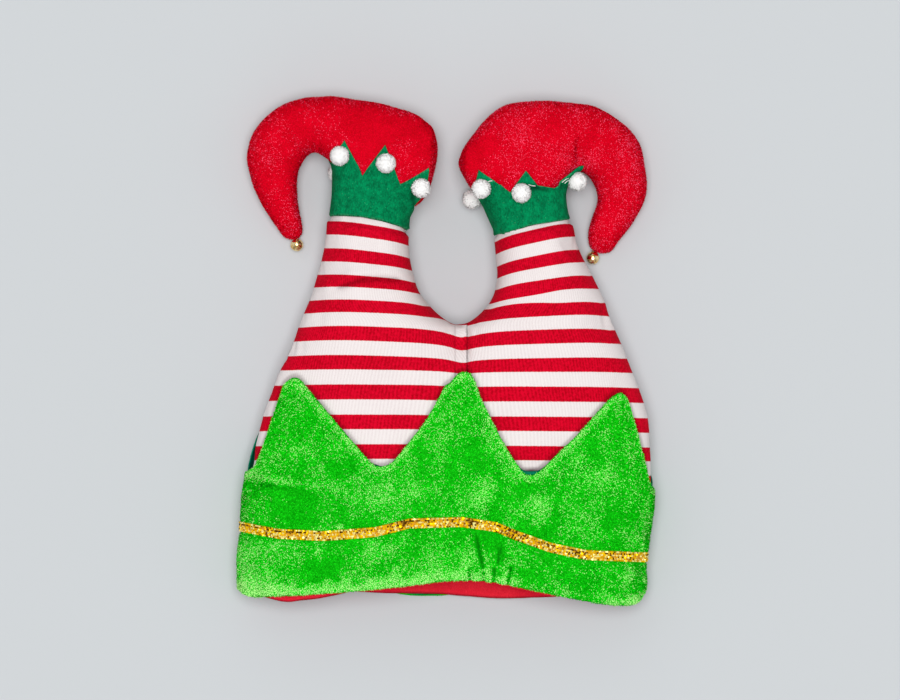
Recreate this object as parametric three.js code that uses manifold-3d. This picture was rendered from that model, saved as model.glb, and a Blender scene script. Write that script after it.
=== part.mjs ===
// Elf legs novelty hat, lying on its back: striped trousers as the crown, stuffed legs, elf shoes.
// Millimetres. +X is the wearer's right leg side, +Y runs from the open rim to the shoes, +Z is off the floor.

import * as THREE from 'three';
import { mergeVertices } from 'three/addons/utils/BufferGeometryUtils.js';
import Module from 'manifold-3d';

// Driving dimensions: layers of cloth, from the trousers outwards and inwards
const GAP = 0.35;
const TROUSER_WALL = 1.6;
const LINING_WALL = 1.1;
const BACKING_WALL = 1.0;
const PLUSH_WALL = 2.3;
const RIBBON_WALL = 0.8;
const RIBBON_WIDTH = 7;
const RIBBON_SINK = 0.15;
const COLLAR_WALL = 1.8;

// Offsets of the layers from the trousers' outer face, worked out from the walls
const BACKING_IN = GAP;
const BACKING_OUT = BACKING_IN + BACKING_WALL;
const PLUSH_IN = BACKING_OUT + GAP;
const PLUSH_OUT = PLUSH_IN + PLUSH_WALL;
const RIBBON_OUT = PLUSH_OUT - RIBBON_SINK;
const RIBBON_IN = RIBBON_OUT - RIBBON_WALL;
const LINING_OUT = -TROUSER_WALL - GAP;
const LINING_IN = LINING_OUT - LINING_WALL;
const COLLAR_IN = GAP;
const COLLAR_OUT = COLLAR_IN + COLLAR_WALL;

// The trousers' back lies on the cuff, so its bed is as high as the cuff is thick
const CUFF_BED = PLUSH_OUT;

// Shape of a lying stuffed section: where its widest line is, and how square its two halves are
const WIDEST_AT = 0.37;
const TOP_SQUARENESS = 2.35;
const BED_SQUARENESS = 2.7;
const SETTLE = 4;
const FRONT_BACK_SPLIT = 21;

// Facets
const LEG_SIDES = 20;
const SHOE_SIDES = 13;
const POMPOM_DETAIL = 1;
const BELL_SIDES = 8;

// How far each layer's edge is drawn back from the rim
const TROUSER_RIM = 3;
const LINING_RIM = 1.5;
const BACKING_RIM = 1;

// Small pieces
const POMPOM_RADIUS = 7;
const POMPOM_LOCK = 0.13;
const POMPOM_LOCK_PITCH = 7;
const POMPOM_SEAT = 0.62;
const BELL_RADIUS = 4.7;
const BELL_WALL = 0.6;
const BELL_SLOT = 0.9;
const BELL_LOOP_RADIUS = 1.5;
const BELL_LOOP_WIRE = 0.45;
const BELL_LIFT = 0.2;
const GATHER_DEPTH = 1.2;
const GATHER_WIDTH = 2.2;
const GATHER_START = -165;

// Far enough to pass every face of the hat, and to stand clear of one face
const REACH = 220;
const HEIGHT = 90;
const CLEAR = 2;

const COLOURS = {
  stripe: 0xcd1230,
  lining: 0xc81e32,
  lime: 0x3cc83c,
  felt: 0x00774a,
  backing: 0x006e50,
  gold: 0xf0b414,
  red: 0xd20a23,
  white: 0xf4f1ee,
};

function table(columns, rows) {
  return rows.map((row) => Object.fromEntries(columns.map((column, i) => [column, row[i]])));
}

// One row for each section of a leg, from below the rim to inside the shoe: the two edges of the
// cloth seen from above, the height of its top and the height that its underside lies at.
const SECTION = ['outerX', 'outerY', 'innerX', 'innerY', 'top', 'bed'];

const LEFT_LEG = table(SECTION, [
  [-144, -196, 105, -196, 45, CUFF_BED],
  [-145, -160, 106, -160, 48, CUFF_BED],
  [-142.5, -112, 108, -112, 53, CUFF_BED],
  [-139, -84, 106, -84, 55.5, CUFF_BED],
  [-131.8, -56, 94, -56, 57.5, CUFF_BED],
  [-118.6, -18, 56, -20, 58.5, CUFF_BED],
  [-110, 2, 26, -1, 58.5, CUFF_BED],
  [-102.3, 22.4, 11, 18.5, 57, 2],
  [-98.5, 32, -5, 26.5, 56, 0.5],
  [-95, 41, -17, 37.5, 55, 0],
  [-89.4, 59.5, -23.4, 53.4, 52.5, 0],
  [-84.4, 78.7, -25.3, 71, 50.5, 1.5],
  [-81.6, 98, -24.6, 88, 49.5, 5],
  [-80.5, 122, -19, 111, 50.5, 8.5],
  [-77, 144, -14, 136, 50, 10],
]);

const RIGHT_LEG = table(SECTION, [
  [138.5, -196, -105, -196, 45, CUFF_BED],
  [141.5, -160, -105, -160, 48, CUFF_BED],
  [147, -112, -105, -112, 53, CUFF_BED],
  [146.5, -84, -103, -84, 55.5, CUFF_BED],
  [144.2, -56, -88, -56, 57.5, CUFF_BED],
  [134.3, -20, -32, -20, 58.5, CUFF_BED],
  [126.5, 0.5, 2, -1, 58.5, CUFF_BED],
  [117.5, 20.3, 14.5, 18, 57, 2],
  [114, 30, 26.5, 26, 56, 0.5],
  [110.8, 39.5, 34, 34.5, 55, 0],
  [102.3, 58.8, 38, 48.5, 52.5, 0],
  [94.4, 77.3, 37.4, 65.2, 50.5, 1.5],
  [89.4, 95.8, 36, 83, 49.5, 5],
  [87.2, 120, 25.5, 109, 50.5, 8.5],
  [90, 140, 20, 134, 50, 10],
]);

// One row for each rib of a shoe, from the heel to the tip of the curled toe. The outer edge is the sole.
const LEFT_SHOE = table(SECTION, [
  [-4.6, 148, -5, 138, 30, 20],
  [-6.3, 158.5, -8, 126, 42, 13],
  [-14, 168, -15, 110, 49, 9],
  [-32, 175.3, -32, 105, 52, 8],
  [-60, 180.6, -60, 114, 52, 8],
  [-85, 182.6, -81, 134, 50, 7],
  [-104, 179.2, -90.5, 141.6, 46, 5],
  [-120, 172.2, -98, 140.2, 42, 3],
  [-133, 159.3, -102.8, 133, 38, 1],
  [-140, 141, -105, 123.5, 34, 0],
  [-137.5, 121, -104.9, 111, 30, 0],
  [-130, 103, -103.4, 99, 25, 0],
  [-119.5, 87.5, -101.6, 86.5, 17, 0],
  [-111.5, 80.2, -104, 80, 10, 1],
]);

const RIGHT_SHOE = table(SECTION, [
  [8.8, 135.5, 10, 130, 30, 20],
  [11, 142, 13, 124.5, 42, 13],
  [20, 154.5, 21.5, 113, 49, 9],
  [37, 170.5, 38, 104.5, 52, 8],
  [62, 178.8, 62, 106, 52, 8],
  [90, 178, 83.5, 116, 50, 7],
  [109.4, 173.6, 92.3, 127.6, 46, 5],
  [126.5, 164, 99, 127.4, 42, 3],
  [139, 150.5, 104, 122.5, 38, 1],
  [144.2, 132, 107.4, 115.5, 34, 0],
  [144.2, 114, 108.2, 107, 30, 0],
  [136, 94.5, 104.5, 96, 25, 0],
  [123.5, 76.8, 101.8, 78.5, 17, 0],
  [113.5, 69.5, 106, 70.5, 10, 1],
]);

// Outlines seen from above. Each corner is rounded by its own radius, up to a share of its edges.
const LARGEST_ROUNDING = 0.48;
const CORNER = ['x', 'y', 'round'];

const FRONT_RIM = table(CORNER, [
  [-160, -166, 0],
  [-149, -169, 4],
  [-141, -176, 8],
  [-86, -173.2, 20],
  [-37, -169, 20],
  [9, -162.6, 20],
  [45, -167, 20],
  [75, -173.5, 20],
  [118, -181, 12],
  [139, -179, 8],
  [145, -169, 6],
  [160, -166, 0],
]);

const BACK_RIM = table(CORNER, [
  [-160, -168, 0],
  [-142, -176, 8],
  [-124, -178.5, 10],
  [-30, -177, 20],
  [82, -175.5, 20],
  [138, -173, 10],
  [160, -168, 0],
]);

const FRONT_POINTS = table(CORNER, [
  [160, -94, 0],
  [148, -93, 3],
  [131, -30, 7],
  [122.5, -27, 5],
  [60.9, -86.5, 5],
  [13.9, -9.5, 9],
  [-46, -87, 14],
  [-104, -13, 8],
  [-114, -20, 6],
  [-133, -80, 4],
  [-141, -86, 4],
  [-160, -86, 0],
]);

const BACK_POINTS = table(CORNER, [
  [160, -94, 0],
  [146, -92, 5],
  [118, -18, 8],
  [62, -86, 8],
  [12, -12, 8],
  [-46, -86, 8],
  [-110, -14, 8],
  [-133.6, -58, 4],
  [-141, -86, 4],
  [-160, -86, 0],
]);

// The felt backing closes the foot of each gap between the points, and stays inside the tips.
const BACKING_MIDDLE = -55;
const BACKING_RISE = 4;
const BACKING_DROP = 3;

const RIBBON_LINE = table(['x', 'front', 'back'], [
  [-165, -123.5, -123.5],
  [-146, -124.3, -124.3],
  [-119, -129.3, -126],
  [-86, -130.8, -129],
  [-49, -127.9, -131],
  [-25, -121.8, -133],
  [12, -120.8, -136],
  [36, -124.3, -138],
  [51, -130.5, -140],
  [75, -139, -142],
  [100, -144.3, -144],
  [146, -146.4, -146],
  [165, -146.4, -146.4],
]);

const GATHERS = table(['x', 'length'], [
  [21, 17],
  [27, 25],
  [33.5, 30],
  [40, 27],
  [47, 18],
]);

// The head hollow ends in a low arch under the crotch
const HOLLOW_TOP = table(CORNER, [
  [150, -70, 50],
  [75, -17, 40],
  [-50, -17, 40],
  [-140, -70, 50],
]);

// A fold pressed into the left leg
const LEG_FOLD = table(CORNER, [
  [-80, 50, 0],
  [-60, 47.5, 6],
  [-17, 42.5, 0],
  [-60, 45.5, 6],
]);
const LEG_FOLD_DEPTH = 2;

// Where each leg ends and its shoe's neck begins, inside the collar, and where the toes are clear of the legs
const TOE_FROM = 96;
const ANKLE = { left: [[-100, 110], [0, 92]], right: [[5, 89], [110, 108]] };

const LEFT_COLLAR_FRONT = table(CORNER, [
  [-88, 97.2, 0],
  [-63, 96.2, 10],
  [-43, 92.6, 10],
  [-20, 84.5, 0],
  [-19.5, 104, 4],
  [-9.3, 131.5, 1],
  [-31.7, 119, 2],
  [-42.4, 147.5, 1.5],
  [-59, 125.5, 2],
  [-71.6, 150.5, 1.5],
  [-82, 133, 3],
  [-88, 126, 0],
]);

const LEFT_COLLAR_BACK = table(CORNER, [
  [-88, 97.2, 0],
  [-20, 84.5, 0],
  [-18, 112, 3],
  [-30, 110, 3],
  [-48, 134, 1.5],
  [-66, 113, 3],
  [-84, 138, 1.5],
  [-88, 126, 0],
]);

const RIGHT_COLLAR_FRONT = table(CORNER, [
  [31, 81.5, 0],
  [61, 90.4, 10],
  [95, 96, 0],
  [92, 117, 3],
  [99.5, 134, 1],
  [76.6, 117, 2],
  [57.4, 129, 1.5],
  [46, 113.2, 2],
  [23.5, 129.5, 1.5],
  [24.5, 107, 3],
]);

const RIGHT_COLLAR_BACK = table(CORNER, [
  [31, 81.5, 0],
  [95, 96, 0],
  [91, 116, 3],
  [78, 113, 3],
  [62, 134, 1.5],
  [44, 111, 3],
  [20, 126, 1.5],
  [22, 104, 0],
]);

// Three pompoms in front and two behind. A pompom with no height of its own is set on the front of the collar.
const POMPOM = ['x', 'y', 'height'];
const LEFT_POMPOMS = table(POMPOM, [
  [-74.9, 139.3, null],
  [-41.9, 134, null],
  [-17.1, 116.5, null],
  [-82, 127.9, 12],
  [-48, 128, 4],
]);
const RIGHT_POMPOMS = table(POMPOM, [
  [25.8, 116, null],
  [54.3, 112.9, null],
  [93.8, 121.5, 31],
  [19.3, 109, 12],
  [62, 128, 4],
]);

const BELLS = { left: [-105.8, 76.4], right: [105.6, 67.2] };

const wasm = await Module();
wasm.setup();

// Turns a closed geometry into a solid whose faces point out
function solid(geometry) {
  const bare = geometry.clone();
  bare.deleteAttribute('normal');
  bare.deleteAttribute('uv');
  const merged = mergeVertices(bare, 1e-3);
  const points = merged.attributes.position;
  const triangles = [];
  let volume = 0;
  const corner = [new THREE.Vector3(), new THREE.Vector3(), new THREE.Vector3()];
  for (let i = 0; i < merged.index.count; i += 3) {
    const ids = [0, 1, 2].map((k) => merged.index.getX(i + k));
    if (new Set(ids).size < 3) continue;
    ids.forEach((id, k) => corner[k].fromBufferAttribute(points, id));
    volume += corner[0].dot(corner[1].clone().cross(corner[2]));
    triangles.push(ids);
  }
  const facing = volume < 0 ? triangles.map(([a, b, c]) => [a, c, b]) : triangles;
  return new wasm.Manifold(new wasm.Mesh({
    numProp: 3,
    vertProperties: new Float32Array(points.array),
    triVerts: new Uint32Array(facing.flat()),
  }));
}

function mesh(name, body, colour, roughness, metalness = 0) {
  const { vertProperties, triVerts, numProp } = body.getMesh();
  const points = [];
  for (let i = 0; i < vertProperties.length; i += numProp) {
    points.push(vertProperties[i], vertProperties[i + 1], vertProperties[i + 2]);
  }
  const geometry = new THREE.BufferGeometry();
  geometry.setAttribute('position', new THREE.Float32BufferAttribute(points, 3));
  geometry.setIndex([...triVerts]);
  geometry.computeVertexNormals();
  const made = new THREE.Mesh(geometry, new THREE.MeshStandardMaterial({ color: colour, roughness, metalness }));
  made.name = name;
  return made;
}

function signedPower(value, power) {
  return Math.sign(value) * Math.abs(value) ** power;
}

// A stuffed tube through the sections of a table, its faces moved out by grow
function stuffed(rows, sides, grow = 0) {
  const outer = new THREE.CatmullRomCurve3(rows.map((row) => new THREE.Vector3(row.outerX, row.outerY, row.top)));
  const inner = new THREE.CatmullRomCurve3(rows.map((row) => new THREE.Vector3(row.innerX, row.innerY, row.bed)));
  const geometry = new THREE.CylinderGeometry(1, 1, 1, sides, rows.length - 1);
  const place = geometry.attributes.position;
  for (let i = 0; i < place.count; i += 1) {
    const along = place.getY(i) + 0.5;
    const angle = Math.atan2(place.getX(i), place.getZ(i));
    const onEdge = Math.hypot(place.getX(i), place.getZ(i)) > 0.5 ? 1 : 0;
    const point = sectionPoint(outer.getPoint(along), inner.getPoint(along), angle, onEdge, grow);
    place.setXYZ(i, point.x, point.y, point.z);
  }
  return solid(geometry);
}

// A point on a section: outer carries the top height in z, and inner the bed's
function sectionPoint(outer, inner, angle, onEdge, grow) {
  const square = Math.sin(angle) >= 0 ? TOP_SQUARENESS : BED_SQUARENESS;
  const across = onEdge * signedPower(Math.cos(angle), 2 / square);
  const rise = onEdge * signedPower(Math.sin(angle), 2 / square);
  const top = outer.z + grow;
  const bed = Math.max(0, inner.z) - grow;
  const side = THREE.MathUtils.lerp(inner.z, outer.z, WIDEST_AT);
  const half = new THREE.Vector3((outer.x - inner.x) / 2, (outer.y - inner.y) / 2, 0);
  half.setLength(half.length() + grow);
  const x = (outer.x + inner.x) / 2 + half.x * across;
  const y = (outer.y + inner.y) / 2 + half.y * across;
  const z = rise >= 0 ? side + (top - side) * rise : side + (side - bed + SETTLE) * rise;
  return new THREE.Vector3(x, y, Math.max(z, bed));
}

// A closed outline with rounded corners
function roundedShape(corners) {
  const shape = new THREE.Shape();
  const count = corners.length;
  corners.forEach((corner, i) => {
    const here = new THREE.Vector2(corner.x, corner.y);
    const before = corners[(i + count - 1) % count];
    const after = corners[(i + 1) % count];
    const [start, end] = [before, after].map((next) => {
      const step = new THREE.Vector2(next.x, next.y).sub(here);
      const reach = Math.min(corner.round, step.length() * LARGEST_ROUNDING);
      return here.clone().addScaledVector(step.normalize(), reach);
    });
    if (i === 0) shape.moveTo(start.x, start.y);
    else shape.lineTo(start.x, start.y);
    if (corner.round > 0) shape.quadraticCurveTo(here.x, here.y, end.x, end.y);
  });
  shape.closePath();
  return shape;
}

// An upright block over an outline, between two heights
function block(corners, low, high) {
  const geometry = new THREE.ExtrudeGeometry(roundedShape(corners), {
    depth: high - low,
    bevelEnabled: false,
    curveSegments: 3,
  });
  geometry.translate(0, 0, low);
  return solid(geometry);
}

// A region with one outline for the front of the hat, which faces up, and one for its back
function region(front, back, split = FRONT_BACK_SPLIT) {
  return block(front, split, HEIGHT).add(block(back, -HEIGHT, split));
}

function raised(corners, rise) {
  return corners.map((corner) => ({ ...corner, y: corner.y + rise }));
}

function rectangle(left, right, low, high) {
  return table(CORNER, [[left, low, 0], [right, low, 0], [right, high, 0], [left, high, 0]]);
}

// The whole of both legs and the crown, its faces moved out by grow
function trouserForm(grow) {
  return stuffed(LEFT_LEG, LEG_SIDES, grow).add(stuffed(RIGHT_LEG, LEG_SIDES, grow));
}

// Everything beyond a line across one ankle
function pastAnkle([start, end], clearance) {
  const corners = table(CORNER, [
    [start[0], start[1] + clearance, 0],
    [end[0], end[1] + clearance, 0],
    [end[0], REACH, 0],
    [start[0], REACH, 0],
  ]);
  return block(corners, -HEIGHT, HEIGHT);
}

// The hat's body between its rim and an upper outline, the rim drawn back by inset
function aboveRim(frontTop, backTop, inset) {
  return region(
    [...raised(FRONT_RIM, inset), ...frontTop],
    [...raised(BACK_RIM, inset), ...backTop],
  );
}

const OPEN_TOP = table(CORNER, [[REACH, REACH, 0], [-REACH, REACH, 0]]);

function hollowRegion(inset) {
  const arch = raised(HOLLOW_TOP, -inset);
  const mouth = table(CORNER, [[-REACH, -REACH, 0], [REACH, -REACH, 0]]);
  return block([...mouth, ...arch], -HEIGHT, HEIGHT);
}

function buildTrousers() {
  const trimmed = trouserForm(0).intersect(aboveRim(OPEN_TOP, OPEN_TOP, TROUSER_RIM));
  const legs = trimmed.subtract(pastAnkle(ANKLE.left, 0)).subtract(pastAnkle(ANKLE.right, 0));
  const hollow = trouserForm(-TROUSER_WALL).intersect(hollowRegion(TROUSER_WALL));
  const skin = trouserForm(CLEAR).subtract(trouserForm(-LEG_FOLD_DEPTH));
  const fold = skin.intersect(block(LEG_FOLD, FRONT_BACK_SPLIT, HEIGHT));
  return legs.subtract(hollow).subtract(fold);
}

function buildLining() {
  const wall = TROUSER_WALL + GAP;
  const outside = trouserForm(LINING_OUT).intersect(hollowRegion(wall));
  const inside = trouserForm(LINING_IN).intersect(hollowRegion(wall + LINING_WALL));
  return outside.subtract(inside).intersect(aboveRim(OPEN_TOP, OPEN_TOP, LINING_RIM));
}

function ribbonOutline(side, width) {
  const upper = RIBBON_LINE.map((row) => ({ x: row.x, y: row[side] + width / 2, round: 0 }));
  const lower = RIBBON_LINE.map((row) => ({ x: row.x, y: row[side] - width / 2, round: 0 }));
  return [...lower, ...upper.reverse()];
}

function ribbonBand(inFace, outFace, width) {
  const band = region(ribbonOutline('front', width), ribbonOutline('back', width));
  return trouserForm(outFace).subtract(trouserForm(inFace)).intersect(band);
}

function gatherGrooves() {
  const skin = trouserForm(PLUSH_OUT + CLEAR).subtract(trouserForm(PLUSH_OUT - GATHER_DEPTH));
  const grooves = GATHERS.map(({ x, length }) => block(table(CORNER, [
    [x - GATHER_WIDTH / 2, -REACH, 0],
    [x + GATHER_WIDTH / 2, -REACH, 0],
    [x, GATHER_START + length, 0],
  ]), FRONT_BACK_SPLIT, HEIGHT));
  return skin.intersect(grooves.reduce((all, groove) => all.add(groove)));
}

function buildCuff() {
  const wall = trouserForm(PLUSH_OUT).subtract(trouserForm(PLUSH_IN));
  const pointed = wall.intersect(aboveRim(FRONT_POINTS, BACK_POINTS, 0));
  const groove = ribbonBand(RIBBON_IN - GAP, PLUSH_OUT + CLEAR, RIBBON_WIDTH + 2 * GAP);
  return pointed.subtract(groove).subtract(gatherGrooves());
}

function backingPoints(points) {
  return points.map((corner) => ({
    ...corner,
    y: corner.y + (corner.y < BACKING_MIDDLE ? BACKING_RISE : -BACKING_DROP),
  }));
}

function buildBacking() {
  const wall = trouserForm(BACKING_OUT).subtract(trouserForm(BACKING_IN));
  return wall.intersect(aboveRim(backingPoints(FRONT_POINTS), backingPoints(BACK_POINTS), BACKING_RIM));
}

function buildRibbon() {
  return ribbonBand(RIBBON_IN, RIBBON_OUT, RIBBON_WIDTH);
}

// The shoe and the ankle inside its collar, as one form
function ankleForm(leg, shoe, grow) {
  return stuffed(leg, LEG_SIDES, grow).add(stuffed(shoe, SHOE_SIDES, grow));
}

function sphere(radius, [x, y, z]) {
  const geometry = new THREE.SphereGeometry(radius, BELL_SIDES, BELL_SIDES / 2);
  geometry.rotateX(Math.PI / 2);
  geometry.translate(x, y, z);
  return solid(geometry);
}

function loop([x, y, z], wire) {
  const geometry = new THREE.TorusGeometry(BELL_LOOP_RADIUS, wire, 4, 8);
  geometry.rotateY(Math.PI / 2);
  geometry.translate(x, y + BELL_RADIUS + BELL_LOOP_RADIUS / 2, z);
  return solid(geometry);
}

function bellCentre([x, y]) {
  return [x, y, BELL_RADIUS + BELL_LIFT];
}

function buildBell(spot) {
  const centre = bellCentre(spot);
  const [x, y, z] = centre;
  const shell = sphere(BELL_RADIUS, centre).add(loop(centre, BELL_LOOP_WIRE));
  const slots = [[BELL_SLOT, BELL_RADIUS * 3], [BELL_RADIUS * 1.3, BELL_SLOT]].map(([width, height]) => {
    const box = new THREE.BoxGeometry(width, BELL_RADIUS, height);
    box.translate(x, y - BELL_RADIUS, z);
    return solid(box);
  });
  return slots.reduce((body, slot) => body.subtract(slot), shell.subtract(sphere(BELL_RADIUS - BELL_WALL, centre)));
}

function buildShoe(leg, shoe, ankle, bell) {
  const neck = stuffed(leg, LEG_SIDES).intersect(pastAnkle(ankle, GAP));
  const toePocket = sphere(BELL_RADIUS + GAP, bellCentre(bell)).add(loop(bellCentre(bell), BELL_LOOP_WIRE + GAP));
  const trimmed = stuffed(shoe, SHOE_SIDES).intersect(pastAnkle(ankle, GAP).add(toeRegion(shoe)));
  return trimmed.add(neck).subtract(toePocket);
}

// The curled toe reaches below the ankle line, outside the leg
function toeRegion(shoe) {
  const [low, high] = shoe[0].outerX < 0 ? [-REACH, -TOE_FROM] : [TOE_FROM, REACH];
  return block(rectangle(low, high, 0, REACH), -HEIGHT, HEIGHT);
}

function buildCollar(leg, shoe, front, back) {
  const wall = ankleForm(leg, shoe, COLLAR_OUT).subtract(ankleForm(leg, shoe, COLLAR_IN));
  return wall.intersect(region(front, back));
}

function heightOver(form, x, y) {
  const ray = new THREE.Raycaster(new THREE.Vector3(x, y, HEIGHT), new THREE.Vector3(0, 0, -1));
  return ray.intersectObject(form)[0].point.z;
}

// A ball of short locks: about every second point of the ball stands out
function pompomBall({ x, y }, z) {
  const geometry = new THREE.IcosahedronGeometry(POMPOM_RADIUS, POMPOM_DETAIL);
  const place = geometry.attributes.position;
  for (let i = 0; i < place.count; i += 1) {
    const way = new THREE.Vector3().fromBufferAttribute(place, i).normalize();
    const [a, b, c] = way.toArray().map((part, k) => Math.sin(POMPOM_LOCK_PITCH * part + k + 1));
    const dip = a * b * c > 0 ? POMPOM_LOCK : 0;
    way.multiplyScalar(POMPOM_RADIUS * (1 - dip));
    place.setXYZ(i, way.x + x, way.y + y, way.z + z);
  }
  return solid(geometry);
}

function buildPompoms(side, pompoms, leg, shoe) {
  const seat = ankleForm(leg, shoe, COLLAR_OUT + GAP);
  const seatFace = mesh('seat', seat, COLOURS.felt, 1);
  const offFloor = block(rectangle(-REACH, REACH, -REACH, REACH), 0, HEIGHT);
  return pompoms.map((spot, i) => {
    const z = spot.height ?? heightOver(seatFace, spot.x, spot.y) + POMPOM_SEAT * POMPOM_RADIUS;
    const ball = pompomBall(spot, z).intersect(offFloor).subtract(seat);
    return mesh(`${side}_pompom_${i + 1}`, ball, COLOURS.white, 0.95);
  });
}

const hat = new THREE.Group();
hat.add(mesh('striped_trousers', buildTrousers(), COLOURS.stripe, 0.85));
hat.add(mesh('crown_lining', buildLining(), COLOURS.lining, 0.7));
hat.add(mesh('cuff', buildCuff(), COLOURS.lime, 0.95));
hat.add(mesh('cuff_backing', buildBacking(), COLOURS.backing, 0.95));
hat.add(mesh('gold_ribbon', buildRibbon(), COLOURS.gold, 0.3, 0.9));

const feet = [
  ['left', LEFT_LEG, LEFT_SHOE, LEFT_COLLAR_FRONT, LEFT_COLLAR_BACK, LEFT_POMPOMS],
  ['right', RIGHT_LEG, RIGHT_SHOE, RIGHT_COLLAR_FRONT, RIGHT_COLLAR_BACK, RIGHT_POMPOMS],
];
for (const [side, leg, shoe, front, back, pompoms] of feet) {
  const foot = new THREE.Group();
  foot.add(mesh(`${side}_shoe`, buildShoe(leg, shoe, ANKLE[side], BELLS[side]), COLOURS.red, 0.9));
  foot.add(mesh(`${side}_collar`, buildCollar(leg, shoe, front, back), COLOURS.felt, 0.95));
  foot.add(...buildPompoms(side, pompoms, leg, shoe));
  foot.add(mesh(`${side}_bell`, buildBell(BELLS[side]), COLOURS.gold, 0.2, 1));
  hat.add(foot);
}

// The origin is on the floor under the middle of the hat's plan
const middle = new THREE.Box3().setFromObject(hat).getCenter(new THREE.Vector3());
hat.position.set(-middle.x, -middle.y, 0);

export default hat;
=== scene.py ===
"""Elf legs novelty hat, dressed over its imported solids.

The hat lies on its back and is seen from above. Its crown is a pair of striped trousers, the legs
end in red plush elf shoes, and a lime plush cuff with points and a gold ribbon goes round the rim.
Tables are in millimetres of the hat's plan: X across, Y from the rim to the shoes, Z off the floor.
Meshes are in metres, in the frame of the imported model.
"""

import logging
import math
from dataclasses import dataclass, field
from enum import Enum
from typing import Any, Sequence

import bmesh
import bpy
import numpy as np
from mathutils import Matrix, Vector
from mathutils.bvhtree import BVHTree


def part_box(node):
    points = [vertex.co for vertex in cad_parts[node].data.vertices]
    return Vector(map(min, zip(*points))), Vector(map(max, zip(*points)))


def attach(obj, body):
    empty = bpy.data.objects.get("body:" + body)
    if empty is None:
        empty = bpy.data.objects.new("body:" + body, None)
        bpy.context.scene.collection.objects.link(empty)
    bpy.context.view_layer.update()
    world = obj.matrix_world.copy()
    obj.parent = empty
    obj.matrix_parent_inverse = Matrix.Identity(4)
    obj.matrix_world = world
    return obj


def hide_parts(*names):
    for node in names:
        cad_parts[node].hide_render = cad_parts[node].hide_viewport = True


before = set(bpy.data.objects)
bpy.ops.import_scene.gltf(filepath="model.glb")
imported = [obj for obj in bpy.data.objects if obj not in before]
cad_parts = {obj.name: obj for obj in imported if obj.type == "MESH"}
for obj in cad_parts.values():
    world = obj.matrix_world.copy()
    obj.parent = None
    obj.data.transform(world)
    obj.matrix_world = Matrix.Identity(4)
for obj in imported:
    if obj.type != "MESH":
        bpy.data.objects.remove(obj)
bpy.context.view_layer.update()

LOG = logging.getLogger("elf_hat")
MM = 0.001
PLAN_SHIFT = np.array((-1.0, -1.128, 0.0))
BODY = "root"

Row = tuple[float, ...]
Bump = tuple[float, int, float]
Line = tuple[tuple[float, float], ...]
Colour = tuple[float, float, float]
Faces = list[tuple[int, ...]]


# Sections of the stuffed pieces: outer edge x, y, inner edge x, y, top height, bed height

LEFT_LEG: tuple[Row, ...] = (
    (-144, -196, 105, -196, 45, 4),
    (-145, -160, 106, -160, 48, 4),
    (-142.5, -112, 108, -112, 53, 4),
    (-139, -84, 106, -84, 55.5, 4),
    (-132.6, -56, 94, -56, 57.5, 4),
    (-119.6, -18, 56, -20, 58.5, 4),
    (-110, 2, 26, -1, 58.5, 4),
    (-102.3, 22.4, 8.5, 18.5, 57, 2),
    (-98.5, 32, -5, 26.4, 56, 0.5),
    (-95, 41, -15.6, 37.3, 55, 0),
    (-89.4, 59.5, -22.2, 53.3, 52.5, 0),
    (-85.4, 78.7, -25.3, 71, 50.5, 1.5),
    (-83.2, 98, -24.6, 88, 49.5, 5),
    (-80.5, 122, -19, 111, 50.5, 8.5),
    (-77, 144, -14, 136, 50, 10),
)

RIGHT_LEG: tuple[Row, ...] = (
    (137, -196, -105, -196, 45, 4),
    (139.8, -160, -105, -160, 48, 4),
    (145.4, -112, -105, -112, 53, 4),
    (147, -84, -103, -84, 55.5, 4),
    (145.6, -56, -88, -56, 57.5, 4),
    (135.8, -20, -32, -20, 58.5, 4),
    (127.8, 0.5, 2, -1, 58.5, 4),
    (118.2, 20.3, 11.5, 18, 57, 2),
    (114, 30, 23.5, 26, 56, 0.5),
    (110.8, 39.5, 31.3, 34.2, 55, 0),
    (102.3, 58.8, 36.6, 48.3, 52.5, 0),
    (94.4, 77.3, 36.8, 65.2, 50.5, 1.5),
    (89.4, 95.8, 34.8, 83, 49.5, 5),
    (87.2, 120, 24.6, 109, 50.5, 8.5),
    (90, 140, 20, 134, 50, 10),
)

LEFT_SHOE: tuple[Row, ...] = (
    (-4.6, 148, -5, 138, 30, 20),
    (-7, 157, -8, 126, 42, 13),
    (-14.5, 165.9, -14.4, 107, 49, 9),
    (-32, 173.9, -32, 103, 52, 8),
    (-60, 179.3, -60, 114, 52, 8),
    (-85, 182.6, -81, 134, 50, 7),
    (-104.5, 181, -90.5, 141.6, 46, 5),
    (-121, 173.7, -98, 140.2, 42, 3),
    (-134.8, 160.6, -102.8, 133, 38, 1),
    (-141.8, 141.5, -105, 123.5, 34, 0),
    (-138, 121, -104.9, 111, 30, 0),
    (-130, 103, -103.4, 99, 25, 0),
    (-119.5, 87.5, -101.6, 86.5, 17, 0),
    (-114.5, 81, -103.2, 81.4, 11, 1),
    (-111.5, 79.5, -106.3, 79.7, 8, 2.5),
)

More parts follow.
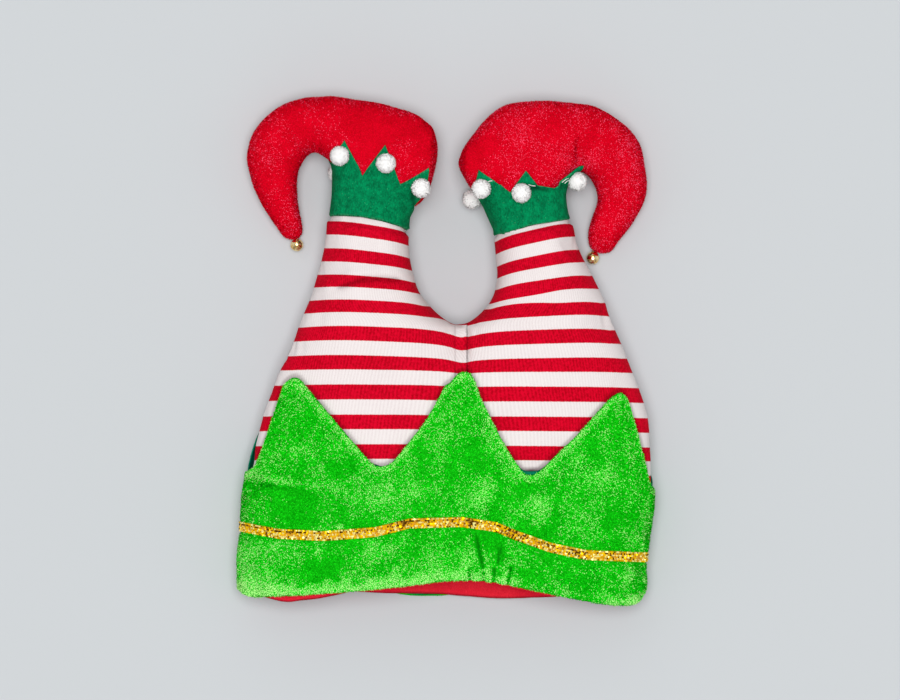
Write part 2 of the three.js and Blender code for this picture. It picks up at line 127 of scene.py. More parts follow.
RIGHT_SHOE: tuple[Row, ...] = (
    (8.8, 135.5, 10, 130, 30, 20),
    (11, 142, 13, 124.5, 42, 13),
    (19.5, 155, 21.5, 113, 49, 9),
    (36, 172.6, 38, 104.5, 52, 8),
    (61.5, 179.2, 62, 106, 52, 8),
    (90, 178, 83.5, 116, 50, 7),
    (109.8, 174.4, 92.3, 127.6, 46, 5),
    (126.4, 164.3, 99, 127.4, 42, 3),
    (138.6, 150.5, 104, 122.5, 38, 1),
    (143.2, 131.8, 107.4, 115.5, 34, 0),
    (144.2, 114, 108.2, 107, 30, 0),
    (136, 94.5, 104.5, 96, 25, 0),
    (123.5, 77.8, 101.8, 79.4, 17, 0),
    (118.5, 70.8, 105, 72.4, 11, 1),
    (115, 69.2, 108.5, 69.8, 8, 2.5),
)

# Where each leg ends and its shoe begins, left to right, and how far out the toes begin

LEFT_ANKLE: Line = ((-100, 110), (0, 92))
RIGHT_ANKLE: Line = ((5, 89), (110, 108))
TOES_FROM = 98

# Outlines of the cuff: x, y, corner rounding

FRONT_RIM: tuple[Row, ...] = (
    (-160, -166, 0), (-149, -169, 4), (-141, -176, 8), (-86, -173.2, 20), (-37, -169, 20),
    (9, -162.6, 20), (45, -167, 20), (75, -173.5, 20), (118, -181.8, 12), (137, -181.4, 8),
    (144.5, -170, 6), (160, -166, 0),
)
BACK_RIM: tuple[Row, ...] = (
    (-160, -166, 0), (-142, -171.5, 6), (-124, -171.5, 8), (-80, -170, 15), (-44, -170.5, 6),
    (-34, -173.9, 5), (-22, -175.3, 6), (0, -175.1, 4), (8, -173.2, 3), (37, -174, 10), (84, -172.5, 15),
    (138, -171, 8), (160, -166, 0),
)
FRONT_HEM: tuple[Row, ...] = (
    (-160, -164, 0), (-138, -172.5, 4), (-126, -175.5, 4), (-114, -178.4, 6), (-94, -176.6, 8),
    (-74, -172.6, 5), (-60, -168.6, 5), (-37, -167.5, 10), (9, -161, 10), (45, -165.5, 12),
    (75, -172, 12), (118, -179, 12), (139, -177, 8), (145, -167, 6), (160, -164, 0),
)
BACK_HEM: tuple[Row, ...] = (
    (-160, -165, 0), (-142, -170.5, 6), (-80, -170, 10), (-44, -172.2, 6), (-20, -172.3, 6), (-2, -172.8, 4),
    (8, -173.8, 4), (37, -176.1, 10), (60, -175.6, 10), (84, -174.6, 6), (100, -172, 6), (138, -170, 8),
    (160, -165, 0),
)
FRONT_POINTS: tuple[Row, ...] = (
    (-160, -84.8, 0), (-142, -84.8, 3), (-134.8, -80.8, 5), (-125.6, -56.9, 12), (-115, -21.2, 6),
    (-105.5, -15.2, 6), (-74, -53, 12), (-53.4, -76.6, 4), (-50, -79.6, 3), (-44.4, -80.6, 4),
    (-37.4, -77.8, 6), (-12.1, -46.2, 12), (0.2, -22.4, 3), (4.2, -20.4, 2), (9.6, -13.2, 3),
    (17.2, -12.7, 3.5), (21.2, -18.8, 4), (24.8, -30.8, 6), (44, -68.6, 12), (55.2, -84.4, 3),
    (58.6, -86.6, 2), (63.6, -85.4, 2.5), (68.8, -81.8, 4), (93.6, -58.4, 10), (117.2, -31.6, 5),
    (125, -26.5, 5), (129.6, -32.4, 4), (138.5, -61.6, 10), (143.9, -86.2, 8), (148.6, -100, 6),
    (160, -104, 0),
)
FRONT_FELT: tuple[Row, ...] = (
    (-160, -88, 0), (-141, -87, 3), (-133.6, -82, 4), (-124, -62, 8), (-114, -28, 6),
    (-105.5, -22, 6), (-74, -55, 12), (-53.4, -79.2, 2), (-49.2, -79.6, 2), (-45.4, -81.4, 3),
    (-36.5, -79.6, 6), (-12, -49, 10), (1, -28, 3), (14, -18.6, 6), (22.6, -31, 5), (42.8, -70, 10),
    (54.4, -83.4, 3), (58.2, -84.4, 2), (66, -83.9, 2.5), (71.4, -80.4, 4), (94, -62, 8), (117, -37, 5),
    (125, -32, 5), (128.3, -38.6, 4), (137.1, -64.4, 10), (142.7, -90.8, 8), (148, -103, 6), (160, -107, 0),
)
BACK_POINTS: tuple[Row, ...] = (
    (-160, -88, 0), (-141, -88, 4), (-135, -86, 3), (-104, -18, 6), (-46, -86, 8),
    (12, -12, 6), (62, -86, 6), (118, -18, 6), (146, -92, 3), (160, -94, 0),
)
BACK_FELT: tuple[Row, ...] = (
    (-160, -64, 0), (-139, -63, 3), (-133, -56, 3), (-126, -66, 3), (-104, -24, 6), (-46, -82, 8),
    (12, -17, 6), (62, -82, 6), (118, -23, 6), (146, -88, 3), (160, -90, 0),
)
HOLLOW_TOP: tuple[Row, ...] = (
    (-160, -82, 0), (-140, -70, 20), (-50, -19, 40), (75, -19, 40), (150, -70, 20), (165, -80, 0),
)
RIBBON_LINE: tuple[Row, ...] = (
    (-165, -123.5, -123.5), (-146, -124.3, -124.3), (-119, -129.3, -126), (-86, -130.8, -129),
    (-49, -127.9, -131), (-25, -121.8, -133), (12, -120.8, -136), (36, -124.3, -138),
    (51, -130.5, -140), (75, -139, -142), (100, -144.3, -144), (146, -146.4, -146),
    (165, -146.4, -146.4),
)

# White bands of the trousers: outer end x, y, inner end x, y and bow, from the ankle down to the cuff

LEFT_BANDS: tuple[Row, ...] = (
    (-82, 98, -24.5, 88, 2.2), (-84.5, 78.7, -25.3, 70.9, 1.7), (-89.4, 59.5, -23.2, 53.4, 1.8),
    (-95.1, 41, -16, 36.7, 2.5), (-102.3, 22.4, 1.8, 18.2, 3.0), (-110, 2.1, 11.8, -2.5, 2.7),
    (-118.6, -18.5, 11.8, -19.6, 1.4), (-126.5, -40.6, 11.8, -41, 1.7), (-133.6, -62, 11.8, -61.5, 1.6),
    (-138.6, -82.3, 11.8, -82.3, 1.0), (-142, -103.5, 11.8, -103.5, 0.5),
)
RIGHT_BANDS: tuple[Row, ...] = (
    (89.4, 95.8, 36, 83, 2.4), (94.4, 77.3, 37.4, 65.2, 2.0), (102.3, 58.8, 37.8, 48.1, 2.4),
    (110.8, 39.5, 33.1, 32.4, 2.5), (117.2, 20.3, 21.7, 16.7, 2.5), (126.5, 0.4, 15.3, -2.5, 1.8),
    (134.3, -20.3, 15.3, -19.6, 0.8), (140.7, -41.8, 15.3, -41, 0.7), (145.7, -63, 15.3, -61.5, 0.6),
    (148.6, -83, 15.3, -82.3, 0.3), (150, -104, 15.3, -103.5, 0),
)


def to_frame(points: np.ndarray) -> np.ndarray:
    """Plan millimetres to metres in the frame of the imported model."""
    return (np.asarray(points, float) + PLAN_SHIFT) * MM


def to_plan(points: np.ndarray) -> np.ndarray:
    """Metres in the frame to plan millimetres."""
    return np.asarray(points, float) / MM - PLAN_SHIFT


def smoothstep(low: float, high: float, value: np.ndarray) -> np.ndarray:
    """An even rise from 0 at low to 1 at high."""
    t = np.clip((np.asarray(value, float) - low) / (high - low), 0, 1)
    return t * t * (3 - 2 * t)


def ripples(points: np.ndarray, size: float, seed: int, waves: int = 9) -> np.ndarray:
    """Soft seeded bumps over space, between about -1 and 1.

    Args:
        points: Places in millimetres, one per row.
        size: About how far apart the bumps are.
        seed: Picks the bumps.
        waves: How many sine waves are summed.

    Returns:
        One number per place.
    """
    rng = np.random.default_rng(seed)
    total = np.zeros(len(points))
    for _ in range(waves):
        way = rng.normal(size=3)
        way *= 2 * math.pi / (size * rng.uniform(0.7, 1.5)) / np.linalg.norm(way)
        total += np.sin(points @ way + rng.uniform(0, 2 * math.pi))
    return total / math.sqrt(waves)


def bumpy(points: np.ndarray, layers: Sequence[Bump]) -> np.ndarray:
    """Soft bumps of several sizes together.

    Args:
        points: Places in millimetres, one per row.
        layers: The size, seed and depth of each layer of bumps.

    Returns:
        One height per place.
    """
    total = np.zeros(len(points))
    for size, seed, depth in layers:
        total += ripples(points, size, seed) * depth
    return total


def rounded_line(corners: Sequence[Row], steps: int = 7) -> np.ndarray:
    """An open outline whose corners are rounded off.

    Args:
        corners: Rows of x, y and how far from the corner its rounding starts.
        steps: Points in each rounding.

    Returns:
        Points of the outline in order of x.
    """
    made = [np.array(corners[0][:2], float)]
    for before, here, after in zip(corners, corners[1:], corners[2:]):
        spot, ends = np.array(here[:2], float), []
        for side in (before, after):
            step = np.array(side[:2], float) - spot
            length = np.linalg.norm(step)
            ends.append(spot + step / length * min(here[2], 0.48 * length))
        for t in np.linspace(0, 1, steps):
            made.append((1 - t) ** 2 * ends[0] + 2 * t * (1 - t) * spot + t * t * ends[1])
    made.append(np.array(corners[-1][:2], float))
    return np.array(made)


def line_gap(
    points: np.ndarray, path: Sequence[Sequence[float]],
) -> tuple[np.ndarray, np.ndarray, np.ndarray]:
    """How plan places lie to a path.

    Args:
        points: Places, of which x and y are read.
        path: Corners of the path.

    Returns:
        The distance to the path, the signed distance (left of it is positive), and the share of
        its length at the nearest spot.
    """
    corners = np.array(path, float)
    lengths = np.linalg.norm(np.diff(corners, axis=0), axis=1)
    starts = np.concatenate([[0], np.cumsum(lengths)])
    best = np.full(len(points), 1e9)
    signed, along = np.zeros(len(points)), np.zeros(len(points))
    for a, b, length, start in zip(corners, corners[1:], lengths, starts):
        way = (b - a) / length
        step = points[:, :2] - a
        t = np.clip(step @ way, 0, length)
        gap = np.linalg.norm(step - t[:, None] * way, axis=1)
        nearer = gap < best
        side = way[0] * step[:, 1] - way[1] * step[:, 0]
        best = np.where(nearer, gap, best)
        signed = np.where(nearer, np.copysign(gap, side), signed)
        along = np.where(nearer, (start + t) / starts[-1], along)
    return best, signed, along


def soft_spot(points: np.ndarray, x: float, y: float, wide: float, tall: float) -> np.ndarray:
    """A soft mark on the plan, 1 in its middle.

    Args:
        points: Places, in any array shape that ends in 3.
        x: Its middle across the plan.
        y: Its middle up the plan.
        wide: How far it reaches across.
        tall: How far it reaches up.

    Returns:
        A share of 0 to 1 per place.
    """
    return np.exp(-(((points[..., 0] - x) / wide) ** 2) - ((points[..., 1] - y) / tall) ** 2)


def ankle_squeeze(points: np.ndarray, ankle: Sequence[Sequence[float]]) -> np.ndarray:
    """How tightly the collar draws in a leg, from 0 to 1 at its lower edge and under it."""
    past = line_gap(points, ankle)[1]
    return smoothstep(-14.5, -11.5, past) * smoothstep(22, 8, past) * (np.abs(points[:, 0]) < TOES_FROM)


# Meshes


def mesh_object(name: str, points: np.ndarray, faces: Faces) -> bpy.types.Object:
    """A linked mesh object at the origin, from plan millimetres.

    Args:
        name: Name of the object and its mesh.
        points: Vertices in plan millimetres.
        faces: Vertex numbers of each face.

    Returns:
        The object.
    """
    mesh = bpy.data.meshes.new(name)
    mesh.from_pydata(to_frame(points).tolist(), [], faces)
    mesh.validate()
    made = bpy.data.objects.new(name, mesh)
    bpy.context.scene.collection.objects.link(made)
    return made


def plan_points(made: bpy.types.Object) -> np.ndarray:
    """The vertices of an object, in plan millimetres.

    Args:
        made: A mesh object at the origin.

    Returns:
        One row per vertex.
    """
    flat = np.empty(len(made.data.vertices) * 3)
    made.data.vertices.foreach_get("co", flat)
    return to_plan(flat.reshape(-1, 3))


def set_plan_points(made: bpy.types.Object, points: np.ndarray) -> None:
    """Moves the vertices of an object, given in plan millimetres."""
    made.data.vertices.foreach_set("co", to_frame(points).ravel())
    made.data.update()


def normals_of(made: bpy.types.Object) -> np.ndarray:
    """The vertex normals of an object.

    Args:
        made: A mesh object.

    Returns:
        One unit vector per vertex.
    """
    flat = np.empty(len(made.data.vertices) * 3)
    made.data.vertex_normals.foreach_get("vector", flat)
    return flat.reshape(-1, 3)


def store(made: bpy.types.Object, name: str, values: np.ndarray) -> None:
    """Keeps one number per vertex as a named attribute, for a material or a node tree."""
    kept = made.data.attributes.get(name) or made.data.attributes.new(name, "FLOAT", "POINT")
    kept.data.foreach_set("value", np.asarray(values, np.float32))


def evaluated_mesh(made: bpy.types.Object) -> bpy.types.Mesh:
    """A plain mesh of an object with its modifiers applied."""
    graph = bpy.context.evaluated_depsgraph_get()
    return bpy.data.meshes.new_from_object(made.evaluated_get(graph), depsgraph=graph)


def settle(made: bpy.types.Object) -> bpy.types.Object:
    """Applies the modifiers of an object into its mesh.

    Args:
        made: The object.

    Returns:
        The same object.
    """
    mesh, old = evaluated_mesh(made), made.data
    made.modifiers.clear()
    made.data = mesh
    bpy.data.meshes.remove(old)
    return made


def smooth_shaded(made: bpy.types.Object, sharp_over: float = 180) -> bpy.types.Object:
    """Shades an object smooth, with edges over an angle kept sharp.

    Args:
        made: The object.
        sharp_over: The angle in degrees.

    Returns:
        The same object.
    """
    made.data.shade_smooth()
    if sharp_over < 180:
        made.data.set_sharp_from_angle(angle=math.radians(sharp_over))
    return made


def ring_faces(rings: int, sides: int) -> Faces:
    """Quads between closed rings of points that follow each other.

    Args:
        rings: How many rings.
        sides: Points in each ring.

    Returns:
        Vertex numbers of each quad.
    """
    faces: Faces = []
    for i in range(rings - 1):
        for j in range(sides):
            k = (j + 1) % sides
            a, b = i * sides, (i + 1) * sides
            faces.append((a + j, a + k, b + k, b + j))
    return faces


def round_thread(path: np.ndarray, radius: float) -> tuple[np.ndarray, Faces]:
    """A thin round thread along a path.

    Args:
        path: Spots along its middle.
        radius: Half its thickness.

    Returns:
        Closed points and faces.
    """
    sides = 6
    way = np.gradient(path, axis=0)
    across = np.cross(way, (0.0, 0.0, 1.0))
    across /= np.linalg.norm(across, axis=1, keepdims=True)
    up = np.cross(across, way)
    up /= np.linalg.norm(up, axis=1, keepdims=True)
    angle = np.linspace(0, 2 * math.pi, sides, endpoint=False)[:, None]
    rings = path[:, None] + radius * (np.cos(angle) * across[:, None] + np.sin(angle) * up[:, None])
    last = (len(path) - 1) * sides
    caps = [tuple(range(sides - 1, -1, -1)), tuple(range(last, last + sides))]
    return rings.reshape(-1, 3), ring_faces(len(path), sides) + caps


@dataclass(frozen=True)
class StuffedTube:
    """A stuffed tube of cloth that lies on the floor, through the sections of a table."""

    rows: tuple[Row, ...]
    widest_at: float = 0.37
    top_square: float = 2.35
    bed_square: float = 2.7
    settled: float = 4.0

    def sections(self, count: int) -> np.ndarray:
        """Evenly spaced sections on a smooth curve through the table's rows.

        Args:
            count: How many sections.

        Returns:
            Rows like the table's.
        """
        rows = np.array(self.rows, float)
        middle = (rows[:, 0:2] + rows[:, 2:4]) / 2
        at = np.concatenate([[0], np.cumsum(np.linalg.norm(np.diff(middle, axis=0), axis=1))])
        slope = np.gradient(rows, at, axis=0)
        want = np.linspace(0, at[-1], count)
        i = np.clip(np.searchsorted(at, want, side="right") - 1, 0, len(at) - 2)
        span = (at[i + 1] - at[i])[:, None]
        t = (want - at[i])[:, None] / span
        start, end = 2 * t**3 - 3 * t**2 + 1, -2 * t**3 + 3 * t**2
        lead, trail = t**3 - 2 * t**2 + t, t**3 - t**2
        return start * rows[i] + end * rows[i + 1] + span * (lead * slope[i] + trail * slope[i + 1])

    def rings(self, count: int, sides: int, grow: float = 0.0) -> np.ndarray:
        """Rings of points over the tube's skin.

        Args:
            count: Rings along the tube.
            sides: Points in each ring.
            grow: How far the skin is moved out.

        Returns:
            An array of rings, points and coordinates.
        """
        made = []
        angle = np.linspace(0, 2 * math.pi, sides, endpoint=False)
        cos, sin = np.cos(angle), np.sin(angle)
        square = np.where(sin >= 0, self.top_square, self.bed_square)
        across = np.sign(cos) * np.abs(cos) ** (2 / square)
        rise = np.sign(sin) * np.abs(sin) ** (2 / square)
        for outer_x, outer_y, inner_x, inner_y, top, bed in self.sections(count):
            side = bed + (top - bed) * self.widest_at
            low = max(0.0, bed) - grow
            half = np.array((outer_x - inner_x, outer_y - inner_y)) / 2
            half *= 1 + grow / np.linalg.norm(half)
            up = side + (top + grow - side) * rise
            down = side + (side - low + self.settled) * rise
            z = np.maximum(np.where(rise >= 0, up, down), low)
            x = (outer_x + inner_x) / 2 + half[0] * across
            y = (outer_y + inner_y) / 2 + half[1] * across
            made.append(np.stack([x, y, z], 1))
        return np.array(made)

    def solid(self, count: int, sides: int) -> tuple[np.ndarray, Faces]:
        """The tube as closed points and faces.

        Args:
            count: Rings along the tube.
            sides: Points in each ring.

        Returns:
            Points in plan millimetres, and faces.
        """
        rings = self.rings(count, sides)
        points = rings.reshape(-1, 3)
        faces = ring_faces(count, sides)
        last = (count - 1) * sides
        faces.append(tuple(range(sides - 1, -1, -1)))
        faces.append(tuple(range(last, last + sides)))
        return points, faces


def joined(solids: Sequence[tuple[np.ndarray, Faces]]) -> tuple[np.ndarray, Faces]:
    """Several closed forms as one list of points and faces.

    Args:
        solids: Points and faces of each form.

    Returns:
        All points, and faces that are numbered to match.
    """
    points, faces, first = [], [], 0
    for some, theirs in solids:
        points.append(some)
        faces += [tuple(i + first for i in face) for face in theirs]
        first += len(some)
    return np.concatenate(points), faces


@dataclass
class Stuffing:
    """Turns overlapping closed forms into one stuffed skin."""

    voxel: float
    relax: int = 4
    pressure: float = 4.0
    cap: float = 3.0
    frames: int = 20
    evened: int = 50

    def skin(self, name: str, solids: Sequence[tuple[np.ndarray, Faces]]) -> bpy.types.Object:
        """One even skin round the forms, swollen by the stuffing and subdivided once.

        Args:
            name: Name of the new object.
            solids: Closed forms, which may run through each other.

        Returns:
            The skin, with its modifiers applied.
        """
        made = mesh_object(name, *joined(solids))
        remesh = made.modifiers.new("One skin", "REMESH")
        remesh.mode = "VOXEL"
        remesh.voxel_size = self.voxel * MM
        settle(made)
        self.smooth(made)
        self.swell(made)
        fine = made.modifiers.new("Fine", "SUBSURF")
        fine.levels = fine.render_levels = 1
        return settle(made)

    def smooth(self, made: bpy.types.Object) -> None:
        """Evens out the voxels' steps without drawing the form in.

        Args:
            made: The skin.
        """
        work = bmesh.new()
        work.from_mesh(made.data)
        for turn in range(2 * self.relax):
            even = {}
            for v in work.verts:
                near = [e.other_vert(v).co for e in v.link_edges]
                even[v] = sum(near, Vector()) / len(near)
            share = 0.5 if turn % 2 == 0 else -0.52
            for v, spot in even.items():
                v.co += (spot - v.co) * share
        work.to_mesh(made.data)
        work.free()

    def swell(self, made: bpy.types.Object) -> None:
        """Lets a cloth simulation fill the skin, and keeps its puckers without its wide swelling.

        Args:
            made: The skin.
        """
        before = plan_points(made)
        cloth = made.modifiers.new("Filling", "CLOTH")
        cloth.settings.quality = 4
        cloth.settings.use_pressure = True
        cloth.settings.uniform_pressure_force = self.pressure
        cloth.settings.effector_weights.gravity = 0
        cloth.settings.bending_stiffness = 0.3
        cloth.point_cache.frame_start, cloth.point_cache.frame_end = 1, self.frames
        scene = bpy.context.scene
        for step in range(1, self.frames + 1):
            scene.frame_set(step)
        mesh = evaluated_mesh(made)
        flat = np.empty(len(mesh.vertices) * 3)
        mesh.vertices.foreach_get("co", flat)
        move = to_plan(flat.reshape(-1, 3)) - before
        bpy.data.meshes.remove(mesh)
        made.modifiers.clear()
        scene.frame_set(1)
        move -= self.spread(made, move)
        length = np.linalg.norm(move, axis=1)
        LOG.info("%s: stuffing moved the skin %.2f mm at most", made.name, length.max())
        move *= (np.minimum(length, self.cap) / np.maximum(length, 1e-9))[:, None]
        set_plan_points(made, before + move)

    def spread(self, made: bpy.types.Object, move: np.ndarray) -> np.ndarray:
        """A movement of the skin's vertices, evened out over their surroundings.

        Args:
            made: The skin.
            move: The step of each vertex.

        Returns:
            The even part of each step.
        """
        ends = np.empty(len(made.data.edges) * 2, int)
        made.data.edges.foreach_get("vertices", ends)
        a, b = ends.reshape(-1, 2).T
        count = np.bincount(np.concatenate([a, b]), minlength=len(move))
        even = move.copy()
        for _ in range(self.evened):
            for k in range(3):
                near = np.bincount(a, even[b, k], len(move)) + np.bincount(b, even[a, k], len(move))
                even[:, k] = (even[:, k] + near / count) / 2
        return even


class Seat:
    """A skin that cloth, trim and pompoms are laid on."""

    def __init__(self, skin: bpy.types.Object) -> None:
        """Keeps a search tree and smooth normals of the skin.

        Args:
            skin: A mesh object at the origin.
        """
        self.points = plan_points(skin)
        self.normals = normals_of(skin)
        self.faces = [tuple(p.vertices) for p in skin.data.polygons]
        self.tree = BVHTree.FromPolygons([Vector(p) for p in self.points], self.faces)

    def nearest(self, places: np.ndarray) -> tuple[np.ndarray, np.ndarray]:
        """The nearest spots on the skin and the directions out of it there.

        Args:
            places: Places in plan millimetres, in any array shape that ends in 3.

        Returns:
            Spots and unit normals, in the same shape.
        """
        flat = places.reshape(-1, 3)
        feet, out = np.empty_like(flat), np.empty_like(flat)
        for i, place in enumerate(flat):
            spot, _, face, _ = self.tree.find_nearest(Vector(place))
            corners = list(self.faces[face])
            gap = np.linalg.norm(self.points[corners] - np.array(spot), axis=1) + 1e-3
            normal = (self.normals[corners] / gap[:, None]).sum(0)
            feet[i], out[i] = spot, normal / np.linalg.norm(normal)
        return feet.reshape(places.shape), out.reshape(places.shape)

    def height(self, x: float, y: float, from_above: bool = True) -> float:
        """The height of the skin over a spot of the plan, seen from above or from below.

        Args:
            x: Place across the plan.
            y: Place up the plan.
            from_above: False for the underside.

        Returns:
            A height in millimetres, a middling one beside the skin.
        """
        start, way = (200.0, -1.0) if from_above else (-100.0, 1.0)
        hit = self.tree.ray_cast(Vector((x, y, start)), Vector((0, 0, way)))[0]
        return 25.0 if hit is None else hit.z


@dataclass
class Sheet:
    """A band of cloth as a grid of spots on a seat: columns round it, rows up it."""

    feet: np.ndarray
    out: np.ndarray

    def edge_gap(self) -> np.ndarray:
        """How far each spot is from the nearer open edge, along its column.

        Returns:
            A distance per spot.
        """
        step = np.linalg.norm(np.diff(self.feet, axis=1), axis=2)
        up = np.concatenate([np.zeros((len(step), 1)), np.cumsum(step, axis=1)], axis=1)
        return np.minimum(up, up[:, -1:] - up)

    def faces_of(self, inner: np.ndarray, outer: np.ndarray, lip: float) -> tuple[np.ndarray, np.ndarray]:
        """The two faces of the cloth, brought together in a round lip at its edges.

        Args:
            inner: Offset of the inner face from the seat, per spot.
            outer: Offset of the outer face, per spot.
            lip: How far in from the edge the lip begins.

        Returns:
            The spots of the inner and the outer face.
        """
        near = np.clip(self.edge_gap() / lip, 0, 1)
        full = np.sqrt(np.clip(1 - (1 - near) ** 2, 0, 1))
        middle, half = (inner + outer) / 2, (outer - inner) / 2 * full
        return (
            self.feet + self.out * (middle - half)[..., None],
            self.feet + self.out * (middle + half)[..., None],
        )


def cloth_object(name: str, inner: np.ndarray, outer: np.ndarray, **marks: np.ndarray) -> bpy.types.Object:
    """A closed band of cloth from the two faces' spots.

    Args:
        name: Name of the new object.
        inner: Spots of the inner face: columns, rows, coordinates.
        outer: Spots of the outer face in the same order.
        **marks: Attributes of the outer face, one number per spot; they are 0 on the inner face.

    Returns:
        The object, its open edges joined.
    """
    columns, rows = outer.shape[:2]
    points = np.concatenate([outer.reshape(-1, 3), inner.reshape(-1, 3)])
    faces: Faces = []
    behind = columns * rows
    for i in range(columns):
        j = (i + 1) % columns
        for r in range(rows - 1):
            a, b, c, d = i * rows + r, j * rows + r, j * rows + r + 1, i * rows + r + 1
            faces.append((a, d, c, b))
            faces.append((behind + a, behind + b, behind + c, behind + d))
    made = mesh_object(name, points, faces)
    for mark, values in marks.items():
        store(made, mark, np.concatenate([values.ravel(), np.zeros(behind)]))
    work = bmesh.new()
    work.from_mesh(made.data)
    bmesh.ops.remove_doubles(work, verts=work.verts, dist=2e-6)
    bmesh.ops.recalc_face_normals(work, faces=work.faces)
    work.to_mesh(made.data)
    work.free()
    return smooth_shaded(made)


# Node graphs


class Value:
    """A socket of a node graph, with the arithmetic that expressions use."""

    def __init__(self, graph: "Graph", socket: bpy.types.NodeSocket) -> None:
        """Wraps an output socket."""
        self.graph, self.socket = graph, socket

    def sibling(self, name: str) -> "Value":
        """Another output of the same node."""
        return Value(self.graph, Graph.find(self.socket.node.outputs, name))

    def maths(self, operation: str, *others: Any) -> "Value":
        """A Math node on this value and others."""
        sockets = dict(enumerate((self, *others)))
        return self.graph.add("ShaderNodeMath", sockets, operation=operation)

    def __add__(self, other: Any) -> "Value":
        """Sum."""
        return self.maths("ADD", other)

    def __sub__(self, other: Any) -> "Value":
        """Difference."""
        return self.maths("SUBTRACT", other)

    def __rsub__(self, other: Any) -> "Value":
        """Difference, other way round."""
        return self.graph.add("ShaderNodeMath", {0: other, 1: self}, operation="SUBTRACT")

    def __mul__(self, other: Any) -> "Value":
        """Product."""
        return self.maths("MULTIPLY", other)

    def __truediv__(self, other: Any) -> "Value":
        """Quotient."""
        return self.maths("DIVIDE", other)

    def __rtruediv__(self, other: Any) -> "Value":
        """Quotient, other way round."""
        return self.graph.add("ShaderNodeMath", {0: other, 1: self}, operation="DIVIDE")

    def __abs__(self) -> "Value":
        """Size without sign."""
        return self.maths("ABSOLUTE")

    def sine(self) -> "Value":
        """Sine of the value."""
        return self.maths("SINE")

    def to_whole(self) -> "Value":
        """Distance to the nearest whole number."""
        return abs(self.maths("SUBTRACT", self.maths("ROUND")))

    def rise(self, low: float, high: float) -> "Value":
        """An even rise from 0 at low to 1 at high."""
        sockets = {"Value": self, "From Min": low, "From Max": high}
        return self.graph.add("ShaderNodeMapRange", sockets, interpolation_type="SMOOTHSTEP")


class Graph:
    """Adds nodes to a shader or geometry tree and wires them."""

    def __init__(self, tree: bpy.types.NodeTree) -> None:
        """Works on one tree."""
        self.tree = tree

    @staticmethod
    def find(sockets: Any, key: str | int) -> bpy.types.NodeSocket:
        """A socket by its place, or by its name among those in use.

        Args:
            sockets: Inputs or outputs of a node.
            key: A place, a name or an identifier.

        Returns:
            The socket.
        """
        if isinstance(key, int):
            return sockets[key]
        return next(s for s in sockets if s.enabled and key in (s.name, s.identifier))

    def add(
        self, kind: str, sockets: dict[Any, Any] | None = None, out: str | int = 0, **settings: Any,
    ) -> Value:
        """Adds one node.

        Args:
            kind: The node's type.
            sockets: Values or links of its inputs, by name or place.
            out: Which output to return.
            **settings: The node's own settings, set first.

        Returns:
            The chosen output.
        """
        node = self.tree.nodes.new(kind)
        for key, value in settings.items():
            setattr(node, key, value)
        for key, value in (sockets or {}).items():
            self.feed(self.find(node.inputs, key), value)
        return Value(self, self.find(node.outputs, out) if len(node.outputs) else None)

    def feed(self, socket: bpy.types.NodeSocket, value: Any) -> None:
        """Links a value into a socket, or sets the socket to a constant.

        Args:
            socket: An input of a node.
            value: A Value to link, or a constant.
        """
        if isinstance(value, Value):
            self.tree.links.new(value.socket, socket)
        else:
            socket.default_value = value

    def mix(self, factor: Any, a: Any, b: Any) -> Value:
        """Two colours mixed."""
        sockets = {"Factor": factor, "A": a, "B": b}
        return self.add("ShaderNodeMix", sockets, out="Result", data_type="RGBA")

    def darkened(self, factor: Value, colour: Value, shadow: Any) -> Value:
        """A colour with a shadow's colour laid over it."""
        sockets = {"Factor": factor, "A": colour, "B": shadow}
        return self.add("ShaderNodeMix", sockets, out="Result", data_type="RGBA", blend_type="MULTIPLY")

    def plan(self) -> Value:
        """Object coordinates in millimetres."""
        place = self.add("ShaderNodeTexCoord", out="Object")
        return self.scaled(place, 1 / MM)

    def scaled(self, vector: Value, by: Any) -> Value:
        """A vector times a number."""
        return self.add("ShaderNodeVectorMath", {0: vector, "Scale": by}, operation="SCALE")

    def named(self, name: str, kind: str = "FLOAT") -> Value:
        """A value kept on the geometry, in a Geometry Nodes tree."""
        return self.add("GeometryNodeInputNamedAttribute", {"Name": name}, out="Attribute", data_type=kind)

    def stretched(self, place: Value, scale: Sequence[float]) -> Value:
        """A place scaled along each axis."""
        return self.add("ShaderNodeVectorMath", {0: place, 1: tuple(scale)}, operation="MULTIPLY")

    def noise(self, place: Value, pitch: float, detail: float = 2.0, rough: float = 0.5) -> Value:
        """Noise between 0 and 1 with spots about a pitch apart, in millimetres."""
        sockets = {"Vector": place, "Scale": 1.0 / pitch, "Detail": detail, "Roughness": rough}
        return self.add("ShaderNodeTexNoise", sockets)

    def attribute(self, name: str) -> Value:
        """A number kept on the mesh."""
        return self.add("ShaderNodeAttribute", out="Fac", attribute_name=name)

    def bump(self, height: Value, depth: float) -> Value:
        """A normal from a height of 0 to 1, that is depth millimetres deep."""
        return self.add("ShaderNodeBump", {"Height": height, "Distance": depth * MM, "Strength": 1.0})


# Finishes


def srgb(red: float, green: float, blue: float) -> tuple[float, float, float, float]:
    """A colour of 0 to 255 as the linear numbers that shaders take.

    Args:
        red: Red share.
        green: Green share.
        blue: Blue share.

    Returns:
        Linear red, green and blue, with an alpha of 1.
    """
    parts = [c / 255 for c in (red, green, blue)]
    linear = [c / 12.92 if c <= 0.04045 else ((c + 0.055) / 1.055) ** 2.4 for c in parts]
    return (linear[0], linear[1], linear[2], 1.0)


